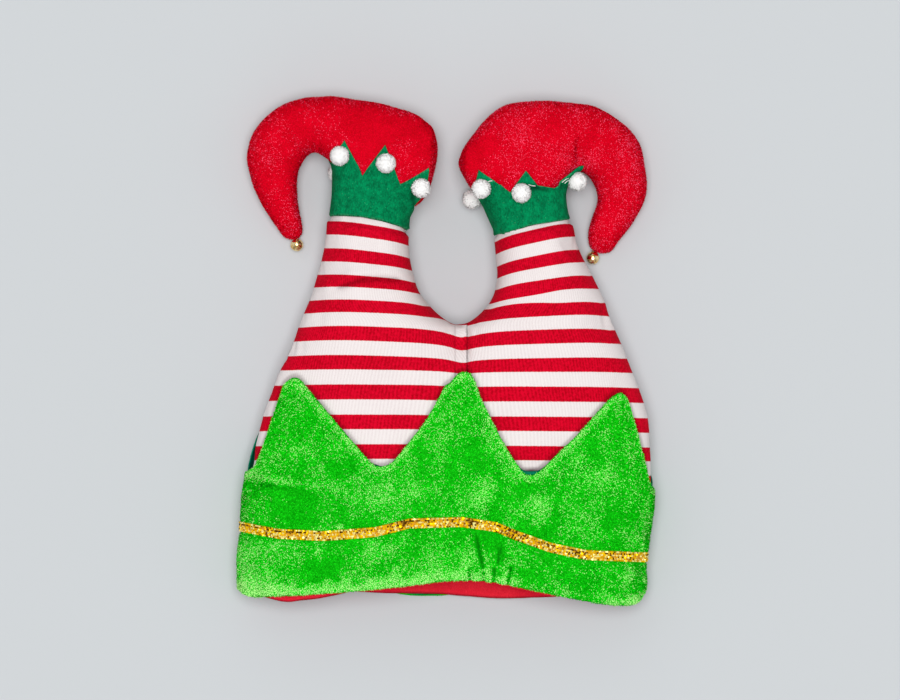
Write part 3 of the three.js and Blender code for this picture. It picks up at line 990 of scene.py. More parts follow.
@dataclass(frozen=True)
class Finish:
    """A finish: builds one material and gives it to pieces."""

    name: str

    def material(self) -> bpy.types.Material:
        """The finish's material, made on first use.

        Returns:
            The material.
        """
        kept = bpy.data.materials.get(self.name)
        if kept is not None:
            return kept
        made = bpy.data.materials.new(self.name)
        made.use_nodes = True
        made.node_tree.nodes.clear()
        graph = Graph(made.node_tree)
        shader = graph.add("ShaderNodeBsdfPrincipled", self.sockets(graph))
        graph.add("ShaderNodeOutputMaterial", {"Surface": shader})
        return made

    def sockets(self, graph: Graph) -> dict[str, Any]:
        """Values and links of the Principled shader."""
        return {}

    def dress(self, made: bpy.types.Object) -> None:
        """Puts the material on an object, alone."""
        made.data.materials.clear()
        made.data.materials.append(self.material())


@dataclass(frozen=True)
class PlainFinish(Finish):
    """One even colour, for strands and flecks that are smaller than any pattern."""

    colour: Colour = (255, 255, 255)
    roughness: float = 0.7
    metallic: float = 0.0
    gloss: float = 0.03

    def sockets(self, graph: Graph) -> dict[str, Any]:
        """Constants alone.

        Args:
            graph: The material's graph.

        Returns:
            Inputs of the shader, by name.
        """
        return {
            "Base Color": srgb(*self.colour),
            "Roughness": self.roughness,
            "Metallic": self.metallic,
            "Specular IOR Level": self.gloss,
        }


@dataclass(frozen=True)
class StripedKnit(Finish):
    """Red and white striped jersey with fine ribs along the legs, and painted shade from the mesh and along
    the crotch's seam lines.
    """

    white: Colour = (232, 224, 223)
    white_low: Colour = (216, 204, 204)
    red: Colour = (215, 4, 40)
    red_low: Colour = (164, 0, 18)
    shadow: Colour = (92, 66, 72)
    rib_pitch: float = 1.5
    white_half: float = 0.251
    # Painted shade along the crotch's seam lines: place across and depth.
    seam_shades: tuple[tuple[float, float], ...] = ((14.7, 0.38), (6.2, 0.19))

    def sockets(self, graph: Graph) -> dict[str, Any]:
        """Bands from the mesh's band number, ribs from its rib number, painted shade from its shade number
        and the seam lines.

        Args:
            graph: The material's graph.

        Returns:
            Inputs of the shader, by name.
        """
        place = graph.plan()
        fuzz = graph.noise(place, 0.9, 2.0, 0.7)
        band = graph.attribute("band") + (fuzz - 0.5) * 0.035
        white = band.to_whole().rise(self.white_half + 0.014, self.white_half - 0.014)
        rib = (graph.attribute("rib") * (2 * math.pi / self.rib_pitch)).sine() * 0.5 + 0.5
        stitch = graph.noise(place, 0.7, 3.0, 0.6)
        loops = graph.noise(place, 1.7, 2.0, 0.6)
        wear = graph.noise(place, 26.0, 3.0, 0.5)
        low = (1 - rib) * 0.35 + (stitch - 0.5) * 0.9 + (wear - 0.5) * 0.5
        grain = low + (loops - 0.5) * 1.7
        reds = graph.mix(grain.rise(-0.25, 0.75), srgb(*self.red), srgb(*self.red_low))
        whites = graph.mix(low.rise(-0.1, 0.8), srgb(*self.white), srgb(*self.white_low))
        across = graph.add("ShaderNodeSeparateXYZ", {"Vector": place}, out="X")
        painted_shade = graph.attribute("shade")
        # Painted shade of the seam lines, added to the mesh's painted shade.
        for seam, depth in self.seam_shades:
            painted_shade = painted_shade + abs(across - seam).rise(0.8, 0.2) * depth
        return {
            "Base Color": graph.darkened(painted_shade, graph.mix(white, reds, whites), srgb(*self.shadow)),
            "Roughness": 0.85,
            "Specular IOR Level": 0.04,
            "Normal": graph.bump(rib * 0.6 + stitch * 0.5, 0.22),
        }


@dataclass(frozen=True)
class Cloth(Finish):
    """Plain cloth or felt: two shades in clouds and a fibre or weave bump."""

    light: Colour = (255, 255, 255)
    deep: Colour = (0, 0, 0)
    cloud: float = 9.0
    fibre: float = 0.8
    relief: float = 0.25
    roughness: float = 0.85
    gloss: float = 0.04

    def sockets(self, graph: Graph) -> dict[str, Any]:
        """Clouded colour with fibres in the colour and the bump.

        Args:
            graph: The material's graph.

        Returns:
            Inputs of the shader, by name.
        """
        place = graph.plan()
        cloud = graph.noise(place, self.cloud, 3.0, 0.55)
        fibre = graph.noise(graph.stretched(place, (1.0, 0.55, 1.0)), self.fibre, 4.0, 0.7)
        shade = (cloud - 0.5) * 1.1 + (fibre - 0.5) * 1.6
        return {
            "Base Color": graph.mix(shade.rise(-0.45, 0.5), srgb(*self.deep), srgb(*self.light)),
            "Roughness": self.roughness,
            "Specular IOR Level": self.gloss,
            "Normal": graph.bump(fibre, self.relief),
        }


@dataclass(frozen=True)
class CutFelt(Cloth):
    """Felt with pale flecks, a paler cut edge and painted shadows."""

    pale: Colour = (96, 196, 140)
    painted_shade: Colour = (0, 44, 24)

    def sockets(self, graph: Graph) -> dict[str, Any]:
        """Clouded felt, with its flecks from noise and its cut edge and painted shadows from the mesh.

        Args:
            graph: The material's graph.

        Returns:
            Inputs of the shader, by name.
        """
        found = super().sockets(graph)
        fleck = graph.noise(graph.plan(), 1.1, 2.0, 0.7).rise(0.66, 0.76) * 0.55
        found["Base Color"] = graph.mix(fleck, found["Base Color"], srgb(*self.pale))
        found["Base Color"] = graph.mix(graph.attribute("edge") * 0.5, found["Base Color"], srgb(*self.pale))
        # Painted shadows by the collar's fold and the pompoms.
        found["Base Color"] = graph.mix(graph.attribute("shade"), found["Base Color"], srgb(*self.painted_shade))
        return found


@dataclass(frozen=True)
class PlushGround(Cloth):
    """The cloth under a pile, with painted shade where the pile parts in its folds."""

    painted_shade: Colour = (0, 84, 6)

    def sockets(self, graph: Graph) -> dict[str, Any]:
        """Clouded cloth, with its folds from the mesh.

        Args:
            Clouded cloth, with painted shade in its folds from the mesh.

        Returns:
            Inputs of the shader, by name.
        """
        found = super().sockets(graph)
        found["Base Color"] = graph.mix(graph.attribute("fold"), found["Base Color"], srgb(*self.painted_shade))
        return found


@dataclass(frozen=True)
class BellMetal(Finish):
    """Polished gold plate with faint tarnish."""

    bright: Colour = (255, 238, 186)
    dull: Colour = (226, 178, 96)

    def sockets(self, graph: Graph) -> dict[str, Any]:
        """Metal whose colour and polish vary a little.

        Args:
            graph: The material's graph.

        Returns:
            Inputs of the shader, by name.
        """
        stain = graph.noise(graph.plan(), 3.0, 3.0, 0.6)
        return {
            "Base Color": graph.mix(stain.rise(0.35, 0.7), srgb(*self.bright), srgb(*self.dull)),
            "Roughness": stain.rise(0.3, 0.8) * 0.14 + 0.12,
            "Metallic": 1.0,
        }


class Finishes:
    """Every finish of the hat."""

    KNIT = StripedKnit("jersey_stripes")
    LINING = Cloth("lining_weave", light=(238, 44, 62), deep=(208, 22, 44), cloud=18, fibre=0.7, relief=0.12)
    LIME_GROUND = PlushGround(
        "lime_plush_ground", light=(24, 196, 20), deep=(0, 150, 2), cloud=16, fibre=0.9, relief=0.4,
    )
    BACKING = Cloth("backing_teal", light=(10, 136, 102), deep=(0, 90, 66), cloud=8, fibre=0.8)
    RED_GROUND = Cloth(
        "red_plush_ground", light=(222, 2, 34), deep=(180, 0, 18), cloud=14, fibre=0.9, relief=0.4,
    )
    FELT = CutFelt("collar_felt", light=(0, 148, 90), deep=(0, 92, 55), cloud=5.5, fibre=1.0, relief=0.35)
    RIBBON = Cloth(
        "ribbon_cloth", light=(236, 178, 14), deep=(170, 112, 6), cloud=3, fibre=0.6,
        roughness=0.5, gloss=0.3,
    )
    BELL = BellMetal("bell_plate")
    # Copies of one lime fibre under different light, picked per strand by its tint: painted shadow, deeper,
    # plain and painted sheen.
    LIME_PILE = (
        PlainFinish("lime_pile_shadow", (0, 142, 0), 0.8),
        PlainFinish("lime_pile_deep", (0, 190, 4), 0.8),
        PlainFinish("lime_pile", (26, 238, 26), 0.8),
        PlainFinish("lime_pile_sheen", (182, 255, 144), 0.7, gloss=0.1),
    )
    # Copies of one red fibre, picked per strand: deeper, plain and a pink painted sheen.
    RED_PILE = (
        PlainFinish("red_pile_deep", (210, 0, 24), 0.8),
        PlainFinish("red_pile", (238, 0, 40), 0.8),
        PlainFinish("red_pile_sheen", (255, 84, 122), 0.7, gloss=0.1),
    )
    YARN = (
        PlainFinish("yarn_shade", (246, 245, 244), 0.9),
        PlainFinish("yarn", (253, 252, 252), 0.9),
        PlainFinish("yarn_bright", (255, 255, 255), 0.9),
    )
    # Copies of one gold sequin: a dark one, painted shade where the cuff is gathered, the plain gold and a
    # painted glint.
    SEQUINS = (
        PlainFinish("sequin_dark", (92, 58, 6), 0.35, metallic=0.5),
        PlainFinish("sequin_gold", (250, 200, 4), 0.35, metallic=0.4),
        PlainFinish("sequin_glint", (255, 246, 152), 0.3, metallic=0.3),
    )


# Geometry Nodes


class Facing(Enum):
    """How the strands or flecks of a tree stand on their surface."""

    STRANDS = "strands"
    FLECKS = "flecks"


@dataclass
class Planting:
    """A Geometry Nodes tree that plants strands or flecks over a surface."""

    name: str
    facing: Facing
    finishes: Sequence[Finish]
    shares: tuple[float, ...]
    length: float
    width: float
    density: float = 0.0
    stand: float = 0.5
    stray: float = 0.6
    lean: tuple[float, float, float] = (0.0, 0.0, 0.0)
    patch: float = 22.0
    patchy: float = 0.5
    own_shade: float = 0.3
    raised_shade: float = 0.0
    smallest: float = 0.7
    largest: float = 1.3
    spin: float = 0.7
    seed: int = 1

    def tree(self) -> bpy.types.NodeTree:
        """Builds the tree, with its sizes as named inputs.

        Returns:
            The node tree.
        """
        tree = bpy.data.node_groups.new(self.name, "GeometryNodeTree")
        face = tree.interface
        face.new_socket("Geometry", in_out="OUTPUT", socket_type="NodeSocketGeometry")
        face.new_socket("Geometry", in_out="INPUT", socket_type="NodeSocketGeometry")
        for name in ("Density", "Length", "Width", "Stand", "Stray", "Patch", "Patchy"):
            face.new_socket(name, in_out="INPUT", socket_type="NodeSocketFloat")
        face.new_socket("Lean", in_out="INPUT", socket_type="NodeSocketVector")
        face.new_socket("Seed", in_out="INPUT", socket_type="NodeSocketInt")
        graph = Graph(tree)
        given = graph.add("NodeGroupInput", out="Geometry")
        points, normal = self.points(graph, given)
        turned = self.turned(graph, given, normal)
        sockets = {"Min": self.smallest, "Max": self.largest, "Seed": given.sibling("Seed")}
        scale = graph.add("FunctionNodeRandomValue", sockets, out="Value")
        planted = graph.add(
            "GeometryNodeInstanceOnPoints",
            {"Points": points, "Instance": self.strand(graph, given), "Rotation": turned, "Scale": scale},
        )
        tinted = graph.add(
            "GeometryNodeStoreNamedAttribute",
            {"Geometry": planted, "Name": "tint", "Value": self.tint(graph, given)},
            domain="INSTANCE",
            data_type="FLOAT",
        )
        faced = graph.add(
            "GeometryNodeStoreNamedAttribute",
            {"Geometry": tinted, "Name": "facing", "Value": normal},
            domain="INSTANCE",
            data_type="FLOAT_VECTOR",
        )
        made = graph.add("GeometryNodeRealizeInstances", {"Geometry": faced})
        tint = graph.named("tint")
        for finish, limit in zip(self.finishes, (-9.0, *np.cumsum(self.shares).tolist())):
            chosen = graph.add(
                "FunctionNodeCompare", {"A": tint, "B": limit}, operation="GREATER_THAN", data_type="FLOAT",
            )
            made = graph.add(
                "GeometryNodeSetMaterial",
                {"Geometry": made, "Selection": chosen, "Material": finish.material()},
            )
        graph.add("NodeGroupOutput", {"Geometry": made})
        return tree

    def points(self, graph: Graph, given: Value) -> tuple[Value, Value]:
        """The spots that are planted, and the directions out of the surface there.

        Args:
            graph: The tree's graph.
            given: An output of the input node.

        Returns:
            Points and normals.
        """
        if self.facing is Facing.FLECKS:
            normal = graph.add("GeometryNodeInputNormal")
            kept = graph.add(
                "GeometryNodeStoreNamedAttribute",
                {"Geometry": given, "Name": "facing", "Value": normal},
                domain="POINT",
                data_type="FLOAT_VECTOR",
            )
            spots = graph.add("GeometryNodeMeshToPoints", {"Mesh": kept})
            return spots, graph.named("facing", "FLOAT_VECTOR")
        cover = graph.named("cover")
        spots = graph.add(
            "GeometryNodeDistributePointsOnFaces",
            {"Mesh": given, "Density": cover * given.sibling("Density"), "Seed": given.sibling("Seed")},
            distribute_method="RANDOM",
        )
        return spots, spots.sibling("Normal")

    def turned(self, graph: Graph, given: Value, normal: Value) -> Value:
        """The turn of each strand: out of the surface, leaning with the nap and straying at random.

        Args:
            graph: The tree's graph.
            given: An output of the input node.
            normal: Directions out of the surface.

        Returns:
            A rotation per strand.
        """
        seed = given.sibling("Seed")
        loose = graph.add(
            "FunctionNodeRandomValue",
            {"Min": (-1.0, -1.0, -1.0), "Max": (1.0, 1.0, 1.0), "Seed": seed},
            out="Value",
            data_type="FLOAT_VECTOR",
        )
        loose = graph.scaled(loose, given.sibling("Stray"))
        up = graph.scaled(normal, given.sibling("Stand"))
        way = graph.add("ShaderNodeVectorMath", {0: up, 1: loose}, operation="ADD")
        way = graph.add("ShaderNodeVectorMath", {0: way, 1: given.sibling("Lean")}, operation="ADD")
        stood = graph.add("FunctionNodeAlignRotationToVector", {"Vector": way}, axis="Z")
        stood = graph.add(
            "FunctionNodeAlignRotationToVector",
            {"Rotation": stood, "Vector": normal},
            axis="X",
            pivot_axis="Z",
        )
        sockets = {"Min": -self.spin, "Max": self.spin, "Seed": seed + 7}
        angle = graph.add("FunctionNodeRandomValue", sockets, out="Value")
        spun = graph.add("FunctionNodeAxisAngleToRotation", {"Axis": (0.0, 0.0, 1.0), "Angle": angle})
        sockets = {"Rotation": stood, "Rotate By": spun}
        return graph.add("FunctionNodeRotateRotation", sockets, rotation_space="LOCAL")

    def strand(self, graph: Graph, given: Value) -> Value:
        """One strand, a single standing triangle, or one fleck, a flat six-sided disc.

        Args:
            graph: The tree's graph.
            given: An output of the input node.

        Returns:
            Its mesh.
        """
        length, width = given.sibling("Length"), given.sibling("Width")
        if self.facing is Facing.FLECKS:
            sockets = {"Vertices": 6, "Radius": length * 0.5}
            return graph.add("GeometryNodeMeshCircle", sockets, fill_type="NGON")
        flat = graph.add("GeometryNodeMeshCircle", {"Vertices": 3, "Radius": 1.0}, fill_type="NGON")
        size = graph.add("ShaderNodeCombineXYZ", {"X": length / 1.5, "Y": width / 1.732, "Z": 1.0})
        lift = graph.add("ShaderNodeCombineXYZ", {"Z": length * 0.3})
        return graph.add(
            "GeometryNodeTransform",
            {"Geometry": flat, "Translation": lift, "Rotation": (0.0, -math.pi / 2, 0.0), "Scale": size},
        )

    def tint(self, graph: Graph, given: Value) -> Value:
        """A number of 0 to 1 per strand, partly random, partly in patches, shifted by the bias of painted
        sheen and shade.

        Args:
            graph: The tree's graph.
            given: An output of the input node.

        Returns:
            The number.
        """
        chance = graph.add("FunctionNodeRandomValue", {"Seed": given.sibling("Seed") + 3}, out="Value")
        place = graph.add("GeometryNodeInputPosition")
        place = graph.stretched(place, (1.0, 0.6, 1.0))
        sockets = {"Vector": place, "Scale": 1000.0 / given.sibling("Patch"), "Detail": 3.0}
        patch = graph.add("ShaderNodeTexNoise", sockets)
        return chance + (patch - 0.5) * given.sibling("Patchy") * 2.0 + graph.named("bias")

    def grow(self, name: str, ground: bpy.types.Object) -> bpy.types.Object:
        """Plants a surface and returns the strands as a plain mesh object.

        Args:
            name: Name of the new object.
            ground: The surface; its cover attribute thins the planting, its bias of painted sheen and shade
                shifts the tint.

        Returns:
            The strands alone.
        """
        tree = self.tree()
        planted = bpy.data.objects.new(name + "_planted", ground.data.copy())
        bpy.context.scene.collection.objects.link(planted)
        modifier = planted.modifiers.new(self.name, "NODES")
        modifier.node_group = tree
        values = {
            "Density": self.density * 1e6,
            "Length": self.length * MM,
            "Width": self.width * MM,
            "Stand": self.stand,
            "Stray": self.stray,
            "Patch": self.patch,
            "Patchy": self.patchy,
            "Lean": self.lean,
            "Seed": self.seed,
        }
        for item in tree.interface.items_tree:
            if item.item_type == "SOCKET" and item.in_out == "INPUT" and item.name in values:
                modifier[item.identifier] = values[item.name]
        mesh = evaluated_mesh(planted)
        mesh.name = name
        if self.facing is Facing.STRANDS:
            self.soften(mesh)
        for old in ("tint", "cover", "bias", "facing"):
            if old in mesh.attributes:
                mesh.attributes.remove(mesh.attributes[old])
        made = bpy.data.objects.new(name, mesh)
        bpy.context.scene.collection.objects.link(made)
        bpy.data.objects.remove(planted)
        return made

    def soften(self, mesh: bpy.types.Mesh) -> None:
        """Turns every strand's face to the ground's side and shades it mostly like the ground.

        Args:
            mesh: Strands of three vertices each.
        """
        count = len(mesh.vertices) // 3
        places, facing = np.empty(count * 9), np.empty(count * 9, np.float32)
        mesh.vertices.foreach_get("co", places)
        mesh.attributes["facing"].data.foreach_get("vector", facing)
        strands, ground = places.reshape(-1, 3, 3), facing.reshape(-1, 3, 3)[:, 0]
        own = np.cross(strands[:, 1] - strands[:, 0], strands[:, 2] - strands[:, 0])
        own /= np.linalg.norm(own, axis=1, keepdims=True)
        away = np.einsum("ij,ij->i", own, ground) < 0
        strands[away] = strands[away][:, [0, 2, 1]]
        own[away] *= -1
        mesh.vertices.foreach_set("co", strands.ravel())
        mesh.update()
        shaded = ground * (1 - self.own_shade) + own * self.own_shade + (0.0, 0.0, self.raised_shade)
        shaded /= np.linalg.norm(shaded, axis=1, keepdims=True)
        mesh.shade_smooth()
        mesh.normals_split_custom_set_from_vertices(np.repeat(shaded, 3, axis=0))


def placed(made: bpy.types.Object, slot: str, *nodes: str) -> bpy.types.Object:
    """Puts a finished piece on the frame and reports it.

    Args:
        made: The piece.
        slot: The record's material slot; not used.
        *nodes: CAD nodes that it stands for.

    Returns:
        The piece.
    """
    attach(made, BODY)
    if nodes:
        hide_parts(*nodes)
    made.data.calc_loop_triangles()
    LOG.info("%s: %d triangles", made.name, len(made.data.loop_triangles))
    return made


# The trousers


@dataclass
class Trousers:
    """Crown and both legs: one striped stuffed skin with a centre seam."""

    left: StuffedTube = StuffedTube(LEFT_LEG)
    right: StuffedTube = StuffedTube(RIGHT_LEG)
    stuffing: Stuffing = field(default_factory=lambda: Stuffing(voxel=3.1, relax=4, cap=2.6))
    rings: int = 150
    sides: int = 88
    bumps: tuple[Bump, ...] = ((55, 5, 0.45), (22, 6, 0.16))
    legs_part_x: float = 2.0
    gap_from_y: float = 22.0
    gap_x: float = 5.5
    gusset_x: float = 10.7
    gusset_width: float = 5.2
    gusset_push: float = 2.6
    left_squeeze: float = 2.9
    right_squeeze: float = 2.5
    leg_end: float = 3.0
    seam_x: float = 15.7
    seam_depth: float = 1.1
    seam_width: float = 2.0
    crotch_y: float = 20.0
    tucks: tuple[Row, ...] = ((7.6, 19, -14, 0.7), (15.6, 18, -16, 0.8), (2.0, 16, 2, 0.5), (22, 15, 4, 0.5))
    tuck_width: float = 1.3
    tuck_slant: float = 1.2
    slack: float = 1.9
    rim_inset: float = 3.0
    hem: float = 1.4
    fold: Line = (
        (-79, 45), (-72.2, 46.9), (-64, 49.4), (-58.7, 51.2), (-46, 51.6), (-35.2, 51.4), (-27, 49),
    )
    fold_depth: float = 2.6
    fold_width: float = 2.2
    fold_shade: float = 0.57
    ribs_middle: float = 22.0
    ribs_height: float = 30.0
    skin: bpy.types.Object | None = None
    seat: Seat | None = None

    def build(self) -> None:
        """Makes the skin, keeps it as a seat for the cuff and sculpts its seam and folds."""
        legs = [leg.solid(self.rings, self.sides) for leg in (self.left, self.right)]
        self.skin = self.stuffing.skin("knit_trousers", legs)
        self.shape()
        self.seat = Seat(self.skin)
        self.sculpt()

    def shape(self) -> None:
        """Gives the skin soft bumps, draws it in under the collars and lays it on the floor."""
        points, out = plan_points(self.skin), normals_of(self.skin)
        points += out * bumpy(points, self.bumps)[:, None]
        left = points[:, 0] < self.legs_part_x
        gusset = np.exp(-(((points[:, 0] - self.gusset_x) / self.gusset_width) ** 2))
        gusset *= smoothstep(5, 15, points[:, 1])
        points[:, 1] += self.gusset_push * gusset * (points[:, 1] < 26)
        points -= out * (self.left_squeeze * ankle_squeeze(points, LEFT_ANKLE) * left)[:, None]
        points -= out * (self.right_squeeze * ankle_squeeze(points, RIGHT_ANKLE) * ~left)[:, None]
        points[:, 2] = np.maximum(points[:, 2], self.bed(points[:, 1]))
        set_plan_points(self.skin, points)

    def sculpt(self) -> None:
        """Presses the seam, the fold in the left leg and the crotch's puckers into the skin."""
        points, out = plan_points(self.skin), normals_of(self.skin)
        front = smoothstep(0.1, 0.5, out[:, 2])
        gap, signed, along = line_gap(points, self.fold)
        fade = np.sin(np.pi * np.clip(along, 0.02, 0.98)) ** 0.6
        press = -self.fold_depth * np.exp(-((gap / self.fold_width) ** 2))
        press += 1.5 * np.exp(-(((signed - 6) / 4.5) ** 2))
        points += out * (press * fade * front * (gap < 25))[:, None]
        seam = np.abs(points[:, 0] - self.seam_x)
        down = smoothstep(self.crotch_y + 4, self.crotch_y - 6, points[:, 1])
        both = smoothstep(0.2, 0.6, np.abs(out[:, 2]))
        pressed = self.seam_depth * np.exp(-((seam / self.seam_width) ** 2))
        points -= out * (pressed * down * both)[:, None]
        for x, y0, y1, depth in self.tucks:
            tuck, _, share = line_gap(points, ((x, y0), (x + self.tuck_slant, y1)))
            pressed = depth * np.exp(-((tuck / self.tuck_width) ** 2))
            points -= out * (pressed * (1 - share) ** 0.7 * front)[:, None]
        loose = smoothstep(-126, -134, points[:, 0]) * np.exp(-(((points[:, 1] + 79) / 9) ** 2))
        points[:, 0] += self.slack * loose
        set_plan_points(self.skin, points)

    def bed(self, y: np.ndarray) -> np.ndarray:
        """How high the underside lies: on the cuff in the crown, on the floor at the legs."""
        return np.interp(y, (-20, 2, 22, 32, 41), (4, 4, 2, 0.5, 0.05))

    def rim(self, points: np.ndarray) -> np.ndarray:
        """The y of the cut rim under each point.

        Args:
            points: Places in the plan, one per row.

        Returns:
            One y per place.
        """
        front, back = rounded_line(FRONT_RIM), rounded_line(BACK_RIM)
        ahead = np.interp(points[:, 0], front[:, 0], front[:, 1])
        behind = np.interp(points[:, 0], back[:, 0], back[:, 1])
        share = smoothstep(15, 27, points[:, 2])
        return behind + (ahead - behind) * share + self.rim_inset

    def dress(self) -> None:
        """Cuts the rim, turns its hem in, marks the bands and ribs and puts the knit on."""
        self.cut_rim()
        self.cut_ankles()
        points = plan_points(self.skin)
        store(self.skin, "band", self.bands(points))
        store(self.skin, "rib", self.ribs(points))
        store(self.skin, "shade", self.shades(points))
        Finishes.KNIT.dress(smooth_shaded(self.skin))
        placed(self.skin, "striped_knit", "striped_trousers")

    def cut_ankles(self) -> None:
        """Ends the legs inside the collars."""
        points = plan_points(self.skin)
        left = points[:, 0] < self.legs_part_x
        past = np.maximum(line_gap(points, LEFT_ANKLE)[1] * left, 0)
        past = np.maximum(past, line_gap(points, RIGHT_ANKLE)[1] * ~left)
        work = bmesh.new()
        work.from_mesh(self.skin.data)
        gone = [f for f in work.faces if all(past[v.index] > self.leg_end for v in f.verts)]
        bmesh.ops.delete(work, geom=gone, context="FACES")
        work.to_mesh(self.skin.data)
        work.free()

    def cut_rim(self) -> None:
        """Ends the crown at the rim, with a hem turned in."""
        points = plan_points(self.skin)
        rim = self.rim(points)
        past = points[:, 1] < rim
        points[:, 1] = np.maximum(points[:, 1], rim)
        set_plan_points(self.skin, points)
        work = bmesh.new()
        work.from_mesh(self.skin.data)
        work.verts.ensure_lookup_table()
        gone = [f for f in work.faces if all(past[v.index] for v in f.verts)]
        bmesh.ops.delete(work, geom=gone, context="FACES")
        edges = [e for e in work.edges if e.is_boundary]
        for inward, up in ((self.hem, 0.0), (0.2, 9.0)):
            grown = bmesh.ops.extrude_edge_only(work, edges=edges)["geom"]
            edges = [g for g in grown if isinstance(g, bmesh.types.BMEdge)]
            for v in {v for e in edges for v in e.verts}:
                toward = Vector((-0.15 * v.co.x, 0, 0.026 - v.co.z)).normalized()
                v.co += toward * inward * MM + Vector((0, up * MM, 0))
        bmesh.ops.recalc_face_normals(work, faces=work.faces)
        work.to_mesh(self.skin.data)
        work.free()

    def shades(self, points: np.ndarray) -> np.ndarray:
        """How deep in shadow each point is: in the fold of the left leg and beside the cuff's points.

        Args:
            points: Vertices of the skin, in plan millimetres.

        Returns:
            A share of 0 to 1 per vertex.
        """
        gap, _, along = line_gap(points, self.fold)
        ends = smoothstep(0.0, 0.12, along) * smoothstep(1.0, 0.85, along)
        found = self.fold_shade * np.exp(-((gap / 1.5) ** 2)) * ends
        low = (points[:, 1] < 0) & (points[:, 2] > 30)
        near = np.full(low.sum(), 99.0)
        for line in (FRONT_POINTS, FRONT_FELT):
            near = np.minimum(near, line_gap(points[low], rounded_line(line))[1])
        foot = np.exp(-(((points[low, 0] - 61) / 6) ** 2)) * smoothstep(-76, -82, points[low, 1])
        found[low] += (0.42 + 0.53 * foot) * smoothstep(2.8, 0.5, near)
        return np.minimum(found, 0.95) * (points[:, 2] > 25)

    def on_left(self, points: np.ndarray) -> np.ndarray:
        """Which points belong to the left leg and its half of the crown."""
        return points[:, 0] < np.where(points[:, 1] < self.gap_from_y, self.seam_x, self.gap_x)

    def bands(self, points: np.ndarray) -> np.ndarray:
        """The band number of each point: whole in the middle of a white band.

        Args:
            points: Vertices of the skin, in plan millimetres.

        Returns:
            One number per vertex.
        """
        left = self.on_left(points)
        near = np.exp(-(((points[:, 0] - 11) / 6.5) ** 2))
        drawn = points.copy()
        drawn[:, 1] += 2.2 * near * smoothstep(-22, 14, points[:, 1])
        found = np.empty(len(points))
        for side, table, power in ((left, LEFT_BANDS, 2.4), (~left, RIGHT_BANDS, 4.0)):
            found[side] = self.band_of(drawn[side], np.array(table, float), power)
        # Over the crotch's top edge, where the cloth turns down into shade, the band number drops so the
        # edge shows red: painted shade in the stripe's red.
        found -= 0.3 * near * smoothstep(18.6, 20.2, points[:, 1]) * (points[:, 1] < 24)
        pinched = ~left * smoothstep(86, 46, points[:, 0]) * (np.abs(found - 4) < 0.5)
        step = found - 4
        return found + pinched * 1.1 * step * (1 - 4 * step**2)

    @staticmethod
    def band_of(points: np.ndarray, table: np.ndarray, power: float) -> np.ndarray:
        """The band number of points of one leg.

        Args:
            points: Places in the plan.
            table: Outer and inner end of each white band, and its bow.
            power: How late the bow falls off towards the outer end.

        Returns:
            One number per place, extended past the first and the last band.
        """
        outer, inner = table[:, 0:2], table[:, 2:4]
        share = (points[:, 0, None] - outer[:, 0]) / (inner[:, 0] - outer[:, 0])
        inside = np.clip(share, -0.15, 1.2)
        fall = np.abs(2 * inside - 1) ** np.where(inside < 0.5, power, 4.0)
        bow = table[:, 4] * np.clip(1 - fall, 0, 1)
        heights = outer[:, 1] + (inner[:, 1] - outer[:, 1]) * inside + bow
        number = np.arange(len(table), dtype=float) + 1
        found = np.empty(len(points))
        for i, y in enumerate(points[:, 1]):
            line = heights[i]
            if y > line[0]:
                found[i] = 1 - (y - line[0]) / (line[0] - line[1])
            else:
                found[i] = np.interp(-y, -line, number)
        return found

    def ribs(self, points: np.ndarray) -> np.ndarray:
        """A distance round each leg, on which the knit's ribs repeat.

        Args:
            points: Vertices of the skin, in plan millimetres.

        Returns:
            One distance per vertex.
        """
        found = np.empty(len(points))
        left = self.on_left(points)
        for side, tube in ((left, self.left), (~left, self.right)):
            rows = tube.sections(120)
            here = points[side]
            outer = np.interp(here[:, 1], rows[:, 1], rows[:, 0])
            inner = np.interp(here[:, 1], rows[:, 3], rows[:, 2])
            inner += (self.seam_x - inner) * smoothstep(36, 12, here[:, 1])
            middle, half = (outer + inner) / 2, np.abs(outer - inner) / 2
            up = (here[:, 2] - self.ribs_middle) / self.ribs_height
            angle = np.arctan2((here[:, 0] - middle) / half, up)
            found[side] = angle * (half + self.ribs_height) / 2
        return found


# The cuff and what is sewn to it


